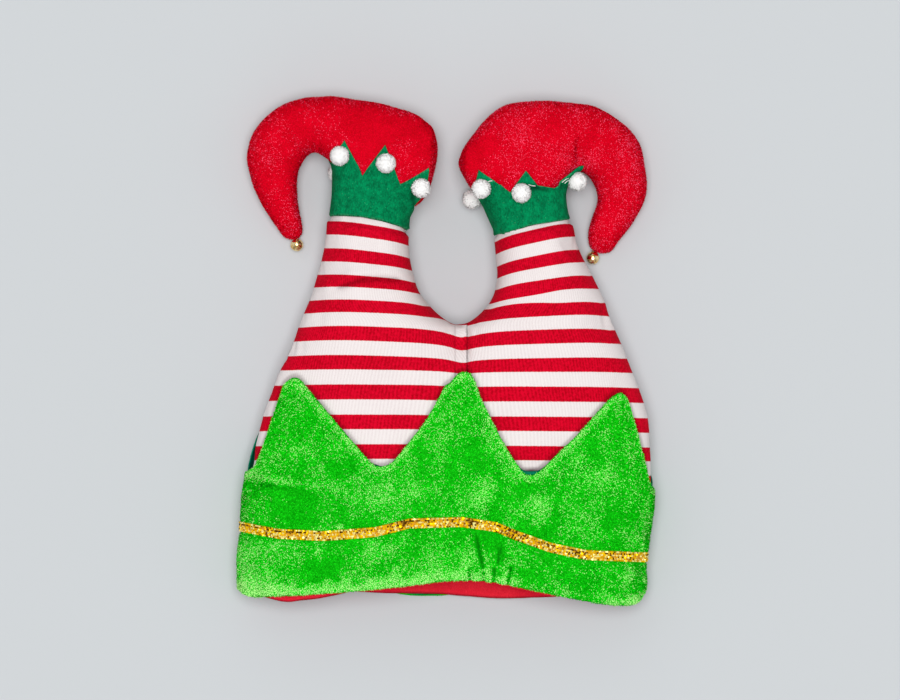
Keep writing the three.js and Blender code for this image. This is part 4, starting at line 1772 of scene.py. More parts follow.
@dataclass
class CrownWrap:
    """Columns that run up the crown's skin, all the way round it, for the bands of cloth there."""

    seat: Seat
    columns: int = 440
    rows: int = 130
    low: float = -197.0
    high: float = -4.0
    feet: np.ndarray | None = None
    out: np.ndarray | None = None

    def build(self) -> None:
        """Lays the columns on the skin."""
        left, right = StuffedTube(LEFT_LEG).sections(160), StuffedTube(RIGHT_LEG).sections(160)
        grid = np.empty((self.columns, self.rows, 3))
        for i, y in enumerate(np.linspace(self.low, self.high, self.rows)):
            low_x, high_x = np.interp(y, left[:, 1], left[:, 0]), np.interp(y, right[:, 1], right[:, 0])
            top = np.interp(y, left[:, 1], left[:, 4])
            tube = StuffedTube(((low_x, y, high_x, y, top, 4), (low_x, y + 1, high_x, y + 1, top, 4)))
            ring = tube.rings(2, 720, grow=5)[0]
            ring = np.roll(ring, 1 - len(ring) // 2, axis=0)
            closed = np.concatenate([ring, ring[:1]])
            at = np.concatenate([[0], np.cumsum(np.linalg.norm(np.diff(closed, axis=0), axis=1))])
            want = np.linspace(0, at[-1], self.columns, endpoint=False)
            grid[:, i] = np.stack([np.interp(want, at, closed[:, k]) for k in range(3)], 1)
        self.feet, self.out = self.seat.nearest(grid)
        for _ in range(3):
            even = self.out + np.roll(self.out, 1, 0) + np.roll(self.out, -1, 0)
            self.out = even / np.linalg.norm(even, axis=2, keepdims=True)

    def cut(
        self, front: np.ndarray, back: np.ndarray, upper: bool, offset: float = 0.0, turn: float = 21.0,
    ) -> np.ndarray:
        """Where each column meets an outline.

        Args:
            front: The outline on the side that faces up, in order of x.
            back: The outline on the side that faces the floor.
            upper: True for the first meeting from below, False for the last.
            offset: How far off the skin the cloth lies whose outline it is.
            turn: The height at which the front's outline passes into the back's.

        Returns:
            A place along each column, in rows.
        """
        x, y, _ = np.moveaxis(self.feet + self.out * offset, 2, 0)
        share = smoothstep(turn - 7, min(turn + 7, 28), self.feet[..., 2])
        line = np.interp(x, back[:, 0], back[:, 1]) * (1 - share)
        line += np.interp(x, front[:, 0], front[:, 1]) * share
        over = y - line
        found = np.zeros(self.columns)
        for i, gap in enumerate(over):
            signs = np.nonzero((gap[:-1] <= 0) & (gap[1:] > 0))[0]
            k = signs[0] if upper else signs[-1]
            found[i] = k - gap[k] / (gap[k + 1] - gap[k])
        return found

    def band(self, low: np.ndarray, high: np.ndarray, rows: int) -> Sheet:
        """The sheet between two places on every column, with rows closer together at its edges.

        Args:
            low: The lower place on each column, in rows.
            high: The upper place on each column.
            rows: How many rows the sheet gets.

        Returns:
            The sheet.
        """
        t = np.linspace(0, 1, rows)
        t = 0.55 * t + 0.45 * (0.5 - 0.5 * np.cos(np.pi * t))
        place = low[:, None] + (high - low)[:, None] * t
        k = np.clip(place.astype(int), 0, self.rows - 2)
        share = (place - k)[..., None]
        pick = np.arange(self.columns)[:, None]
        feet = self.feet[pick, k] * (1 - share) + self.feet[pick, k + 1] * share
        out = self.out[pick, k] * (1 - share) + self.out[pick, k + 1] * share
        return Sheet(feet, out / np.linalg.norm(out, axis=2, keepdims=True))


@dataclass
class Cuff:
    """Lime plush band with points, its felt backing, the crown's lining and the sequin ribbon."""

    trousers: Trousers
    backing_in: float = 0.35
    backing_out: float = 1.35
    plush_in: float = 1.7
    plush_out: float = 3.2
    pile_room: float = 1.1
    bumps: tuple[Bump, ...] = ((48, 12, 0.5), (19, 13, 0.3))
    ribbon_width: float = 7.3
    ribbon_in: float = 2.3
    ribbon_out: float = 3.3
    ribbon_groove: float = 0.7
    sequin_out: float = 3.75
    sequin_rows: int = 6
    sequin_step: float = 1.05
    lining_out: float = -1.95
    lining_in: float = -3.05
    lining_rows: int = 34
    backing_rows: int = 26
    plush_rows: int = 72
    ribbon_rows: int = 9
    hollow_middle: float = 27.0
    hollow_end: int = 7
    scallop_at: float = 34.0
    scallop_reach: float = 17.0
    scallop_crest: float = 36.0
    scallop_step: float = 8.6
    scallop_lift: float = 0.8
    scallop_depth: float = 0.5
    gathers: tuple[Row, ...] = (
        (22.2, -131, 26.9, -153, 2.2), (39.4, -139, 37.6, -150, 1.3), (35, -154, 34, -167, 2.2),
        (47, -153, 44, -167, 2.2), (17.4, -154, 17, -167, 1.5), (27.6, -156, 27, -167, 1.2),
    )
    crease: Line = (
        (-141.5, -88), (-136, -92), (-128, -93.6), (-119, -94.6), (-103, -97), (-88, -99.5),
    )
    # Nap patches of painted sheen (paler, positive) and painted shade (deeper, negative): x, y, reach
    # across, reach up, shift.
    nap_sheen: tuple[Row, ...] = (
        (-47, -99, 9, 12, 0.3), (-21, -98, 7, 8, 0.25), (-77, -95, 6, 5, 0.25), (-103, -70, 7, 5, 0.25),
        (-53, -142, 8, 9, 0.3), (-38, -140, 6, 6, 0.2), (-124, -138, 8, 5, 0.3), (-90, -142, 3, 6, 0.3),
        (-139, -145, 6, 14, 0.35), (-105, -110, 14, 9, -0.13), (-93, -154, 17, 7, -0.16),
        (-20, -107, 6, 4, -0.14), (-8, -153, 6, 5, 0.3), (29, -96, 6, 9, 0.3), (67, -110, 9, 8, 0.35),
        (112, -89, 10, 6, 0.25),
        (54, -97, 7, 6, -0.15), (124, -121, 12, 8, -0.12), (16, -149, 5, 6, 0.3), (54, -159, 10, 6, -0.15),
        (129, -159, 5, 7, 0.3), (130, -180, 8, 4, 0.4), (140, -174, 4, 6, -0.15), (23, -106, 5, 4, 0.25),
        (85, -160, 14, 7, -0.08), (36, -137, 11, 8, -0.15),
    )
    wrap: CrownWrap | None = None
    front_rim: np.ndarray | None = None
    back_rim: np.ndarray | None = None
    front_points: np.ndarray | None = None
    back_points: np.ndarray | None = None

    def build(self) -> None:
        """Makes and places all four pieces."""
        self.wrap = CrownWrap(self.trousers.seat)
        self.wrap.build()
        inward = np.array((0, self.pile_room))
        self.front_rim = self.scalloped(rounded_line(FRONT_RIM)) + inward
        self.back_rim = rounded_line(BACK_RIM) + inward
        self.front_points = rounded_line(FRONT_POINTS) - inward
        self.back_points = rounded_line(BACK_POINTS) - inward
        self.make_lining()
        self.make_backing()
        self.make_plush()
        self.make_ribbon()

    def scalloped(self, line: np.ndarray) -> np.ndarray:
        """The front rim with a small wave where it is gathered.

        Args:
            line: The rim's outline.

        Returns:
            The waved outline.
        """
        x = np.linspace(line[0, 0], line[-1, 0], 800)
        y = np.interp(x, line[:, 0], line[:, 1])
        swell = np.exp(-(((x - self.scallop_at) / self.scallop_reach) ** 2))
        wave = np.cos((x - self.scallop_crest) * 2 * math.pi / self.scallop_step)
        return np.stack([x, y + swell * (self.scallop_lift + self.scallop_depth * wave)], 1)

    def rim(self, inset: float, offset: float) -> np.ndarray:
        """The rim, drawn back by an inset, along every column, for cloth at an offset."""
        shift = np.array((0, inset))
        return self.wrap.cut(self.front_rim + shift, self.back_rim + shift, upper=False, offset=offset)

    def make_lining(self) -> None:
        """The red lining of the head hollow, closed at the crown."""
        arch = rounded_line(HOLLOW_TOP)
        hem = self.wrap.cut(rounded_line(FRONT_HEM), rounded_line(BACK_HEM), upper=False)
        sheet = self.wrap.band(hem, self.wrap.cut(arch, arch, upper=True), self.lining_rows)
        flat = np.ones(sheet.feet.shape[:2])
        inner, outer = sheet.faces_of(flat * self.lining_in, flat * self.lining_out, 0.5)
        shut = np.linspace(0, 1, self.hollow_end)[None, :] ** 2
        for face in (inner, outer):
            end = face[:, -self.hollow_end:, 2]
            end += (self.hollow_middle - end) * shut
            puckers = ripples(face.reshape(-1, 3), 16, 9).reshape(face.shape[:2]) * 0.35
            face[:, :, 2] -= puckers * np.sign(face[:, :, 2] - self.hollow_middle)
        made = cloth_object("lining_cloth", inner, outer)
        Finishes.LINING.dress(made)
        placed(made, "lining_cloth", "crown_lining")

    def make_backing(self) -> None:
        """The dark felt behind the plush, a little higher at the foot of each gap."""
        front, back = rounded_line(FRONT_FELT), rounded_line(BACK_FELT)
        middle = (self.backing_in + self.backing_out) / 2
        points = self.wrap.cut(front, back, upper=True, offset=middle, turn=26)
        sheet = self.wrap.band(self.rim(1.0, middle), points, self.backing_rows)
        off = self.stand_off(sheet.feet) + self.flap(sheet.feet)
        inner, outer = sheet.faces_of(self.backing_in + off, self.backing_out + off, 0.4)
        made = cloth_object("felt_backing", inner, outer)
        Finishes.BACKING.dress(made)
        placed(made, "backing_felt", "cuff_backing")

    @staticmethod
    def flap(feet: np.ndarray) -> np.ndarray:
        """How far the backing's loose corner sticks out at the left.

        Args:
            feet: Spots on the crown's skin.

        Returns:
            An offset per spot.
        """
        side = smoothstep(36, 26, feet[..., 2]) * smoothstep(4, 12, feet[..., 2])
        spot = smoothstep(-55, -78, feet[..., 1]) * smoothstep(-93, -83, feet[..., 1])
        return 0.5 * side * spot * (feet[..., 0] < 0)

    def ribbon_gap(self, points: np.ndarray) -> np.ndarray:
        """Signed distance up from the ribbon's middle line.

        Args:
            points: Spots on the cuff.

        Returns:
            A distance per spot.
        """
        line = np.array(RIBBON_LINE)
        share = smoothstep(14, 28, points[..., 2])
        ahead = np.interp(points[..., 0], line[:, 0], line[:, 1])
        behind = np.interp(points[..., 0], line[:, 0], line[:, 2])
        return points[..., 1] - behind - (ahead - behind) * share

    @staticmethod
    def stand_off(feet: np.ndarray) -> np.ndarray:
        """How far the cuff stands off the trousers, mostly at the foot of the right-hand gap.

        Args:
            feet: Spots on the crown's skin.

        Returns:
            An offset per spot.
        """
        front = smoothstep(24, 32, feet[..., 2])
        right = soft_spot(feet, 66, -84, 12, 9)
        left = soft_spot(feet, -34, -74, 12, 10)
        return front * (3.0 * right + 1.4 * left)

    def plush_height(self, sheet: Sheet) -> np.ndarray:
        """Offset of the plush's outer face: gathers, the crease, the groove of the ribbon, soft bumps.

        Args:
            sheet: Spots of the plush.

        Returns:
            An offset per spot.
        """
        feet = sheet.feet
        flat = feet.reshape(-1, 3)
        shape = feet.shape[:2]
        front = smoothstep(20, 30, feet[..., 2])
        height = np.full(shape, self.plush_out)
        ribbon = np.abs(self.ribbon_gap(feet))
        free = smoothstep(4, 16, ribbon)
        height += bumpy(flat, self.bumps).reshape(shape) * free
        for x0, y0, x1, y1, depth in self.gathers:
            gap, signed, along = (g.reshape(shape) for g in line_gap(flat, ((x0, y0), (x1, y1))))
            fade = np.clip(3 * along + 0.2, 0, 1) * front
            height -= depth * fade * np.exp(-((gap / 1.1) ** 2))
            height += 0.5 * depth * fade * np.exp(-(((signed - 3) / 2) ** 2)) * (gap < 6)
        gap, signed, along = (g.reshape(shape) for g in line_gap(flat, self.crease))
        fade = (1 - along) ** 0.8 * smoothstep(28, 38, feet[..., 2])
        height -= 1.9 * fade * np.exp(-(((signed + 1.1) / 1.2) ** 2)) * (gap < 20)
        height += 1.8 * fade * np.exp(-(((signed - 2.2) / 2.4) ** 2)) * (gap < 20)
        height -= self.ribbon_groove * smoothstep(6.5, 3.2, ribbon)
        return np.maximum(height, self.plush_in + 0.5)

    def tint_bias(self, sheet: Sheet) -> np.ndarray:
        """Painted sheen and shade in the pile: paler along the hem, the points' slopes, the lower left
        corner and over the crease; deeper in the gathers and under the crease; nap patches both ways.

        Args:
            sheet: Spots of the plush.

        Returns:
            A shift of the strands' tint per spot.
        """
        feet = sheet.feet
        near = sheet.edge_gap()
        front = smoothstep(16, 30, feet[..., 2])
        hem = np.arange(feet.shape[1])[None, :] < feet.shape[1] // 2
        ragged = ripples(feet.reshape(-1, 3), 13, 15).reshape(near.shape)
        # Where the hem's band of painted sheen shows: weaker in the middle of the right half.
        hem_sheen_share = 1 - 0.85 * smoothstep(44, 58, feet[..., 0]) * smoothstep(122, 108, feet[..., 0])
        below, above = smoothstep(11 + 5 * ragged, 3, near), smoothstep(9, 0.5, near)
        bias = np.where(hem, 0.6 * hem_sheen_share * below, 0.4 * above) - 0.05
        # Painted sheen at the lower left corner.
        left = soft_spot(feet, -138, -168, 16, 15)
        flat = feet.reshape(-1, 3)
        # Nap patches of painted sheen and shade.
        for x, y, wide, tall, paler in self.nap_sheen:
            bias += paler * front * soft_spot(feet, x, y, wide, tall)
        # Painted shade in the gathers.
        for x0, y0, x1, y1, depth in self.gathers:
            gap = line_gap(flat, ((x0, y0), (x1, y1)))[0].reshape(near.shape)
            bias -= 0.4 * depth * front * np.exp(-((gap / 1.2) ** 2))
        # Painted sheen over the crease's ridge and painted shade under it.
        gap, signed, along = (g.reshape(near.shape) for g in line_gap(flat, self.crease))
        fold = (1 - along) ** 0.6 * smoothstep(28, 38, feet[..., 2]) * (gap < 20)
        over, under = np.exp(-(((signed - 3.4) / 2.2) ** 2)), np.exp(-(((signed + 2) / 2.2) ** 2))
        bias += 0.6 * fold * over - 0.5 * fold * under
        return bias + 0.55 * left * front

    def parted(self, feet: np.ndarray) -> np.ndarray:
        """How much of the pile is left: it parts in the crease and in the tucks.

        Args:
            feet: Spots on the crown's skin.

        Returns:
            A share of 0 to 1 per spot.
        """
        flat = feet.reshape(-1, 3)
        front = smoothstep(28, 38, feet[..., 2])
        _, signed, along = (g.reshape(front.shape) for g in line_gap(flat, self.crease))
        left = 1 - 0.97 * np.exp(-(((signed + 1.0) / 1.3) ** 2)) * smoothstep(0.6, 0.25, along) * front
        for x0, y0, x1, y1, _ in self.gathers:
            gap = line_gap(flat, ((x0, y0), (x1, y1)))[0].reshape(front.shape)
            left *= 1 - 0.9 * np.exp(-((gap / 1.0) ** 2)) * front
        return left

    def make_plush(self) -> None:
        """The plush cuff and its pile."""
        middle = (self.plush_in + self.plush_out) / 2
        points = self.wrap.cut(self.front_points, self.back_points, upper=True, offset=middle)
        sheet = self.wrap.band(self.rim(0.0, middle), points, self.plush_rows)
        height = self.plush_height(sheet)
        low = np.full(height.shape, self.plush_in)
        off = self.stand_off(sheet.feet)
        inner, outer = sheet.faces_of(low + off, height + off, 1.4)
        for face in (inner, outer):
            face[..., 2] = np.maximum(face[..., 2], 0.3)
        cover = smoothstep(3.5, 4.2, np.abs(self.ribbon_gap(sheet.feet)))
        parted = self.parted(sheet.feet)
        cover *= np.interp(sheet.out[..., 2], (-0.9, -0.4, 0.2), (0.16, 0.35, 1.0)) * parted
        # Painted sheen and shade that shift the pile's tint.
        bias = self.tint_bias(sheet)
        # The ground's fold attribute is painted shade where the pile parts, in the crease and the gathers.
        made = cloth_object("plush_cuff", inner, outer, cover=cover, bias=bias, fold=1 - parted)
        Finishes.LIME_GROUND.dress(made)
        placed(made, "lime_plush", "cuff")
        pile = Planting(
            "lime_pile", Facing.STRANDS, Finishes.LIME_PILE, (0.19, 0.33, 0.33), length=1.05, width=0.6,
            density=4.7, stand=0.5, stray=0.6, lean=(0.05, -0.2, 0.0), patch=14.0, patchy=0.38, seed=11,
        ).grow("cuff_pile", made)
        self.press_down(pile)
        placed(pile, "lime_plush")

    @staticmethod
    def press_down(pile: bpy.types.Object) -> None:
        """Lays strands that would reach under the floor flat on it.

        Args:
            pile: The strands' object.
        """
        points = plan_points(pile)
        points[:, 2] = np.maximum(points[:, 2], 0.08)
        set_plan_points(pile, points)

    def make_ribbon(self) -> None:
        """The gold ribbon and the rows of sequins on it."""
        line = np.array(RIBBON_LINE)
        half = self.ribbon_width / 2
        edges = []
        for shift in (-half, half):
            front, back = line[:, [0, 1]] + (0, shift), line[:, [0, 2]] + (0, shift)
            edges.append(self.wrap.cut(front, back, upper=True, offset=self.ribbon_out))
        sheet = self.wrap.band(edges[0], edges[1], self.ribbon_rows)
        flat = np.ones(sheet.feet.shape[:2])
        inner, outer = sheet.faces_of(flat * self.ribbon_in, flat * self.ribbon_out, 1.2)
        for face in (inner, outer):
            face[..., 2] = np.maximum(face[..., 2], 0.05)
        made = cloth_object("ribbon_band", inner, outer)
        Finishes.RIBBON.dress(made)
        placed(made, "sequin_ribbon", "gold_ribbon")
        self.make_sequins(edges)

    def make_sequins(self, edges: list[np.ndarray]) -> None:
        """Staggered rows of sequins along the ribbon, with painted shade where the cuff is gathered.

        Args:
            edges: The ribbon's two edges, as places along the crown's columns.
        """
        rows = self.sequin_rows
        sheet = self.wrap.band(edges[0], edges[1], 2)
        low, high = (sheet.feet[:, r] + sheet.out[:, r] * self.sequin_out for r in (0, 1))
        closed = np.concatenate([low, low[:1]])
        at = np.concatenate([[0], np.cumsum(np.linalg.norm(np.diff(closed, axis=0), axis=1))])
        count = int(at[-1] / self.sequin_step)
        spots = []
        for r in range(rows):
            want = (np.arange(count) + 0.5 * (r % 2)) / count * at[-1]
            share = 0.1 + 0.8 * r / (rows - 1)
            a, b = (
                np.stack([np.interp(want, at, np.concatenate([side, side[:1]])[:, k]) for k in range(3)], 1)
                for side in (low, high)
            )
            spots.append(a + (b - a) * share)
        grid = np.stack(spots, 1)
        points = grid.reshape(-1, 3)
        faces: Faces = []
        for i in range(count):
            j = (i + 1) % count
            for r in range(rows - 1):
                a, b = i * rows + r, j * rows + r
                faces.append((a, a + 1, b + 1, b))
        ground = mesh_object("sequin_rows", points, faces)
        bias = np.where(np.arange(len(points)) % rows == 4, -0.3, 0.06)
        # Painted shade at the gathers: darker sequins there.
        for x in (-29.9, 17.2, 49.4):
            bias -= 0.35 * np.exp(-(((points[:, 0] - x) / 3) ** 2)) * (points[:, 2] > 25)
        store(ground, "bias", bias)
        flecks = Planting(
            "sequin_rows", Facing.FLECKS, Finishes.SEQUINS, (0.16, 0.52), length=1.35, width=1.35,
            stray=0.42, patch=9.0, patchy=0.3, seed=5,
        ).grow("gold_sequins", ground)
        bpy.data.objects.remove(ground)
        self.press_down(flecks)
        placed(flecks, "sequin_ribbon")


# The feet


class Side(Enum):
    """Which foot."""

    LEFT = "left"
    RIGHT = "right"


# Collars: x, y and height of each key spot on the lower edge, then on the upper edge

TOP = 99
UNDER = -99
LEFT_COLLAR: tuple[Row, ...] = (
    (-81, 96.2, 22, -82.6, 130, 24),
    (-72, 96.7, TOP, -71.6, 150.5, TOP),
    (-60, 96, TOP, -59, 125.5, TOP),
    (-45, 93, TOP, -42.4, 147.5, TOP),
    (-33, 89.5, TOP, -31.7, 119, TOP),
    (-27, 86.2, TOP, -10.9, 131.2, TOP),
    (-25.8, 86.6, TOP, -21.6, 108, TOP),
    (-25, 87.6, 22, -23.6, 99.5, 21),
    (-32, 87.5, UNDER, -31, 110, UNDER),
    (-47, 92.5, UNDER, -48, 134, UNDER),
    (-63, 96, UNDER, -66, 113, UNDER),
    (-75, 97, UNDER, -84, 138, 9),
)
RIGHT_COLLAR: tuple[Row, ...] = (
    (36.6, 82.6, 22, 24, 106, 22),
    (42, 84.1, TOP, 23.5, 129.5, TOP),
    (51, 86.8, TOP, 46, 113.2, TOP),
    (59, 89.2, TOP, 57.4, 129, TOP),
    (65, 90.6, TOP, 65.4, 118.6, TOP),
    (73, 91.8, TOP, 76.6, 117, TOP),
    (83, 93.4, TOP, 99.5, 134, 34),
    (90, 94.8, 22, 92, 116, 22),
    (78, 93.3, UNDER, 78, 113, UNDER),
    (62, 90.4, UNDER, 62, 134, UNDER),
    (47, 86.6, UNDER, 44, 111, UNDER),
    (40, 84.6, UNDER, 20, 126, 9),
)


@dataclass
class Foot:
    """An elf shoe with its plush pile, felt collar, pompoms and bell."""

    side: Side
    leg: StuffedTube
    tube: StuffedTube
    ankle: Line
    collar_keys: tuple[Row, ...]
    dents: tuple[tuple[float, ...], ...]
    bell_at: tuple[float, float]
    bell_turn: float
    paler: float = 0.0
    # Nap patches of painted sheen (paler) and painted shade (deeper): x, y, reach across, reach up, shift.
    nap_sheen: tuple[Row, ...] = ()
    folded: Line = ()
    shadows: tuple[Row, ...] = ()
    threads: tuple[Line, ...] = ()
    neck_from: int = 11
    tuck: float = 2.2
    squeeze: float = 2.0
    pile_room: float = 1.1
    stuffing: Stuffing = field(default_factory=lambda: Stuffing(voxel=2.7, relax=4, cap=2.4))
    shoe_rings: int = 130
    neck_rings: int = 40
    sides: int = 60
    bumps: tuple[Bump, ...] = ((40, 31, 0.2), (17, 32, 0.12))
    collar_in: float = 0.35
    collar_out: float = 1.9
    collar_step: float = 1.1
    collar_rows: int = 26
    collar_fold: float = 3.0
    key_room: float = 3.0
    pompom_radius: float = 6.7
    pompom_moves: dict[str, float] = field(default_factory=lambda: {"left_pompom_4": 5.5})
    thread_radius: float = 0.28
    thread_reach: float = 8.5
    shoe: bpy.types.Object | None = None
    seat: Seat | None = None
    collar: Seat | None = None

    def build(self) -> None:
        """Makes and places every piece of the foot."""
        self.make_shoe()
        self.make_collar()
        first = 20 if self.side is Side.RIGHT else 0
        for i in range(1, 6):
            self.make_pompom(f"{self.side.value}_pompom_{i}", seed=first + i)
        JingleBell(self.bell_at, self.bell_turn).build(f"{self.side.value}_bell")

    def make_shoe(self) -> None:
        """The stuffed shoe with its neck, dents and pile."""
        neck = StuffedTube(self.leg.rows[self.neck_from:])
        name = f"{self.side.value}_shoe"
        solids = [self.tube.solid(self.shoe_rings, self.sides), neck.solid(self.neck_rings, self.sides)]
        self.shoe = self.stuffing.skin("plush_" + name, solids)
        points, out = plan_points(self.shoe), normals_of(self.shoe)
        front = smoothstep(0.0, 0.5, out[:, 2])
        for x0, y0, x1, y1, depth, width in self.dents:
            gap = line_gap(points, ((x0, y0), (x1, y1)))[0]
            points -= out * (depth * np.exp(-((gap / width) ** 2)) * front)[:, None]
        points += out * (bumpy(points, self.bumps) - self.pile_room)[:, None]
        points -= out * (self.squeeze * ankle_squeeze(points, self.ankle))[:, None]
        points[:, 2] = np.maximum(points[:, 2], 0.1)
        set_plan_points(self.shoe, points)
        self.seat = Seat(self.shoe)
        past = line_gap(points, self.ankle)[1]
        neck = smoothstep(9, 3, past) * (np.abs(points[:, 0]) < TOES_FROM)
        set_plan_points(self.shoe, points - out * (self.tuck * neck)[:, None])
        Finishes.RED_GROUND.dress(smooth_shaded(self.shoe))
        out = normals_of(self.shoe)
        cover = np.interp(out[:, 2], (-0.9, -0.4, 0.2), (0.12, 0.4, 1.0))
        store(self.shoe, "cover", cover * (1 - neck))
        # Painted sheen: sides a little paler than tops that face up; then the shoe's own paler shift and its
        # nap patches.
        bias = np.interp(out[:, 2], (0.1, 0.8), (0.0, -0.05)) + self.paler
        for x, y, wide, tall, paler in self.nap_sheen:
            bias += paler * soft_spot(points, x, y, wide, tall)
        store(self.shoe, "bias", bias)
        placed(self.shoe, "red_plush", name)
        pile = Planting(
            f"{self.side.value}_red_pile", Facing.STRANDS, Finishes.RED_PILE, (0.38, 0.48),
            length=0.95, width=0.5, density=4.6, stand=0.5, stray=0.6, lean=(0.0, -0.1, 0.0),
            patch=14.0, patchy=0.34, raised_shade=0.3, seed=41,
        ).grow(f"plush_{name}_pile", self.shoe)
        Cuff.press_down(pile)
        placed(pile, "red_plush")

    def key_spot(self, x: float, y: float, z: float) -> np.ndarray:
        """A place over the foot, whose height may be a mark for its top or its underside.

        Args:
            x: Place across the plan.
            y: Place up the plan.
            z: Height, or one of the two marks.

        Returns:
            The place.
        """
        if z not in (TOP, UNDER):
            return np.array((x, y, z))
        height = self.seat.height(x, y, z == TOP)
        return np.array((x, y, height + math.copysign(self.key_room, z)))

    def make_collar(self) -> None:
        """The felt collar with five points, laid over the shoe's neck."""
        keys = np.array([[*self.key_spot(*k[:3]), *self.key_spot(*k[3:])] for k in self.collar_keys])
        closed = np.concatenate([keys, keys[:1]])
        step = np.maximum(
            np.linalg.norm(np.diff(closed[:, :3], axis=0), axis=1),
            np.linalg.norm(np.diff(closed[:, 3:], axis=0), axis=1),
        )
        at = np.concatenate([[0], np.cumsum(step)])
        want = np.unique(np.concatenate([np.arange(0, at[-1], self.collar_step), at[:-1]]))
        line = np.stack([np.interp(want, at, closed[:, k]) for k in range(6)], 1)
        t = np.linspace(0, 1, self.collar_rows)[None, :, None]
        grid = line[:, None, :3] * (1 - t) + line[:, None, 3:] * t
        feet, out = self.seat.nearest(grid)
        for _ in range(4):
            feet[1:-1, 1:-1] = (feet[:-2, 1:-1] + feet[2:, 1:-1] + feet[1:-1, :-2] + feet[1:-1, 2:]) / 4
            out = out + np.roll(out, 1, 0) + np.roll(out, -1, 0)
            out /= np.linalg.norm(out, axis=2, keepdims=True)
        sheet = Sheet(feet, out)
        flat = np.ones(feet.shape[:2])
        lift = flat * 0.25 + ripples(feet.reshape(-1, 3), 14, 51).reshape(flat.shape) * 0.25
        lift += 0.4 * smoothstep(0.25, 0.0, t[..., 0])
        if self.folded:
            gap, signed, _ = (g.reshape(flat.shape) for g in line_gap(feet.reshape(-1, 3), self.folded))
            on_top = smoothstep(0.1, 0.5, out[..., 2])
            lift += self.collar_fold * smoothstep(-0.4, 0.4, signed) * smoothstep(16, 12, gap) * on_top
        shade = np.zeros(flat.shape)
        for x, y, wide, tall, depth in self.shadows:
            shade += depth * soft_spot(feet, x, y, wide, tall) * smoothstep(0.0, 0.3, out[..., 2])
        inner, outer = sheet.faces_of(self.collar_in + lift, self.collar_out + lift, 0.5)
        name = f"{self.side.value}_collar"
        for face in (inner, outer):
            face[..., 2] = np.maximum(face[..., 2], 0.15)
        edge = smoothstep(0.9, 0.3, sheet.edge_gap())
        made = cloth_object("felt_" + name, inner, outer, edge=edge, shade=np.minimum(shade, 0.9))
        self.collar = Seat(made)
        Finishes.FELT.dress(made)
        placed(made, "green_felt", name)

    def sew_on(self, pompom: bpy.types.Object, centre: np.ndarray) -> None:
        """Adds the loose ends of sewing thread that lie on the collar beside a pompom.

        Args:
            pompom: The pompom's core, which the threads are joined to.
            centre: Its middle in the plan.
        """
        work = bmesh.new()
        work.from_mesh(pompom.data)
        for path in self.threads:
            if np.linalg.norm(np.array(path[0]) - centre[:2]) > self.thread_reach:
                continue
            line = rounded_line([(*spot, 0.6) for spot in path])
            heights = [self.collar.height(x, y) + self.thread_radius for x, y in line]
            points, faces = round_thread(np.column_stack([line, heights]), self.thread_radius)
            thread = mesh_object("thread", points, faces)
            work.from_mesh(thread.data)
            bpy.data.objects.remove(thread)
        work.to_mesh(pompom.data)
        work.free()

    def make_pompom(self, node: str, seed: int) -> None:
        """One white pompom: a knobbly core under dense short yarn ends.

        Args:
            node: The CAD node that it stands for.
            seed: Picks its knobs and yarn ends.
        """
        low, high = (to_plan(np.array(corner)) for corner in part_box(node))
        radius = self.pompom_radius
        centre = (low + high) / 2
        centre[2] = max(high[2] - radius, 2.2)
        centre[0] += self.pompom_moves.get(node, 0.0)
        work = bmesh.new()
        bmesh.ops.create_icosphere(work, subdivisions=4, radius=1.0)
        ball = np.array([v.co for v in work.verts])
        faces = [tuple(v.index for v in f.verts) for f in work.faces]
        work.free()
        knobs = bumpy(ball * 10, ((6.5, seed, 0.025), (3.0, seed + 60, 0.02)))
        points = centre + ball * ((radius - 0.5) * (1 + knobs))[:, None]
        made = mesh_object("yarn_" + node, points, faces)
        self.sew_on(made, centre)
        store(made, "cover", np.where(np.arange(len(made.data.vertices)) < len(points), 1.0, 0.0))
        yarn = Planting(
            "yarn_" + node, Facing.STRANDS, Finishes.YARN, (0.25, 0.45),
            length=1.15, width=0.55, density=5.0, stand=0.8, stray=0.6,
            patch=4.0, patchy=0.3, own_shade=0.15, raised_shade=0.5, seed=seed,
        ).grow("ends_" + node, made)
        Finishes.YARN[1].dress(smooth_shaded(made))
        work = bmesh.new()
        work.from_mesh(made.data)
        first = len(work.faces)
        work.from_mesh(yarn.data)
        work.faces.ensure_lookup_table()
        for face in work.faces[:first]:
            face.material_index = 1
        work.to_mesh(made.data)
        work.free()
        made.data.materials.clear()
        for finish in Finishes.YARN:
            made.data.materials.append(finish.material())
        bpy.data.objects.remove(yarn)
        Cuff.press_down(made)
        placed(made, "white_yarn", node)


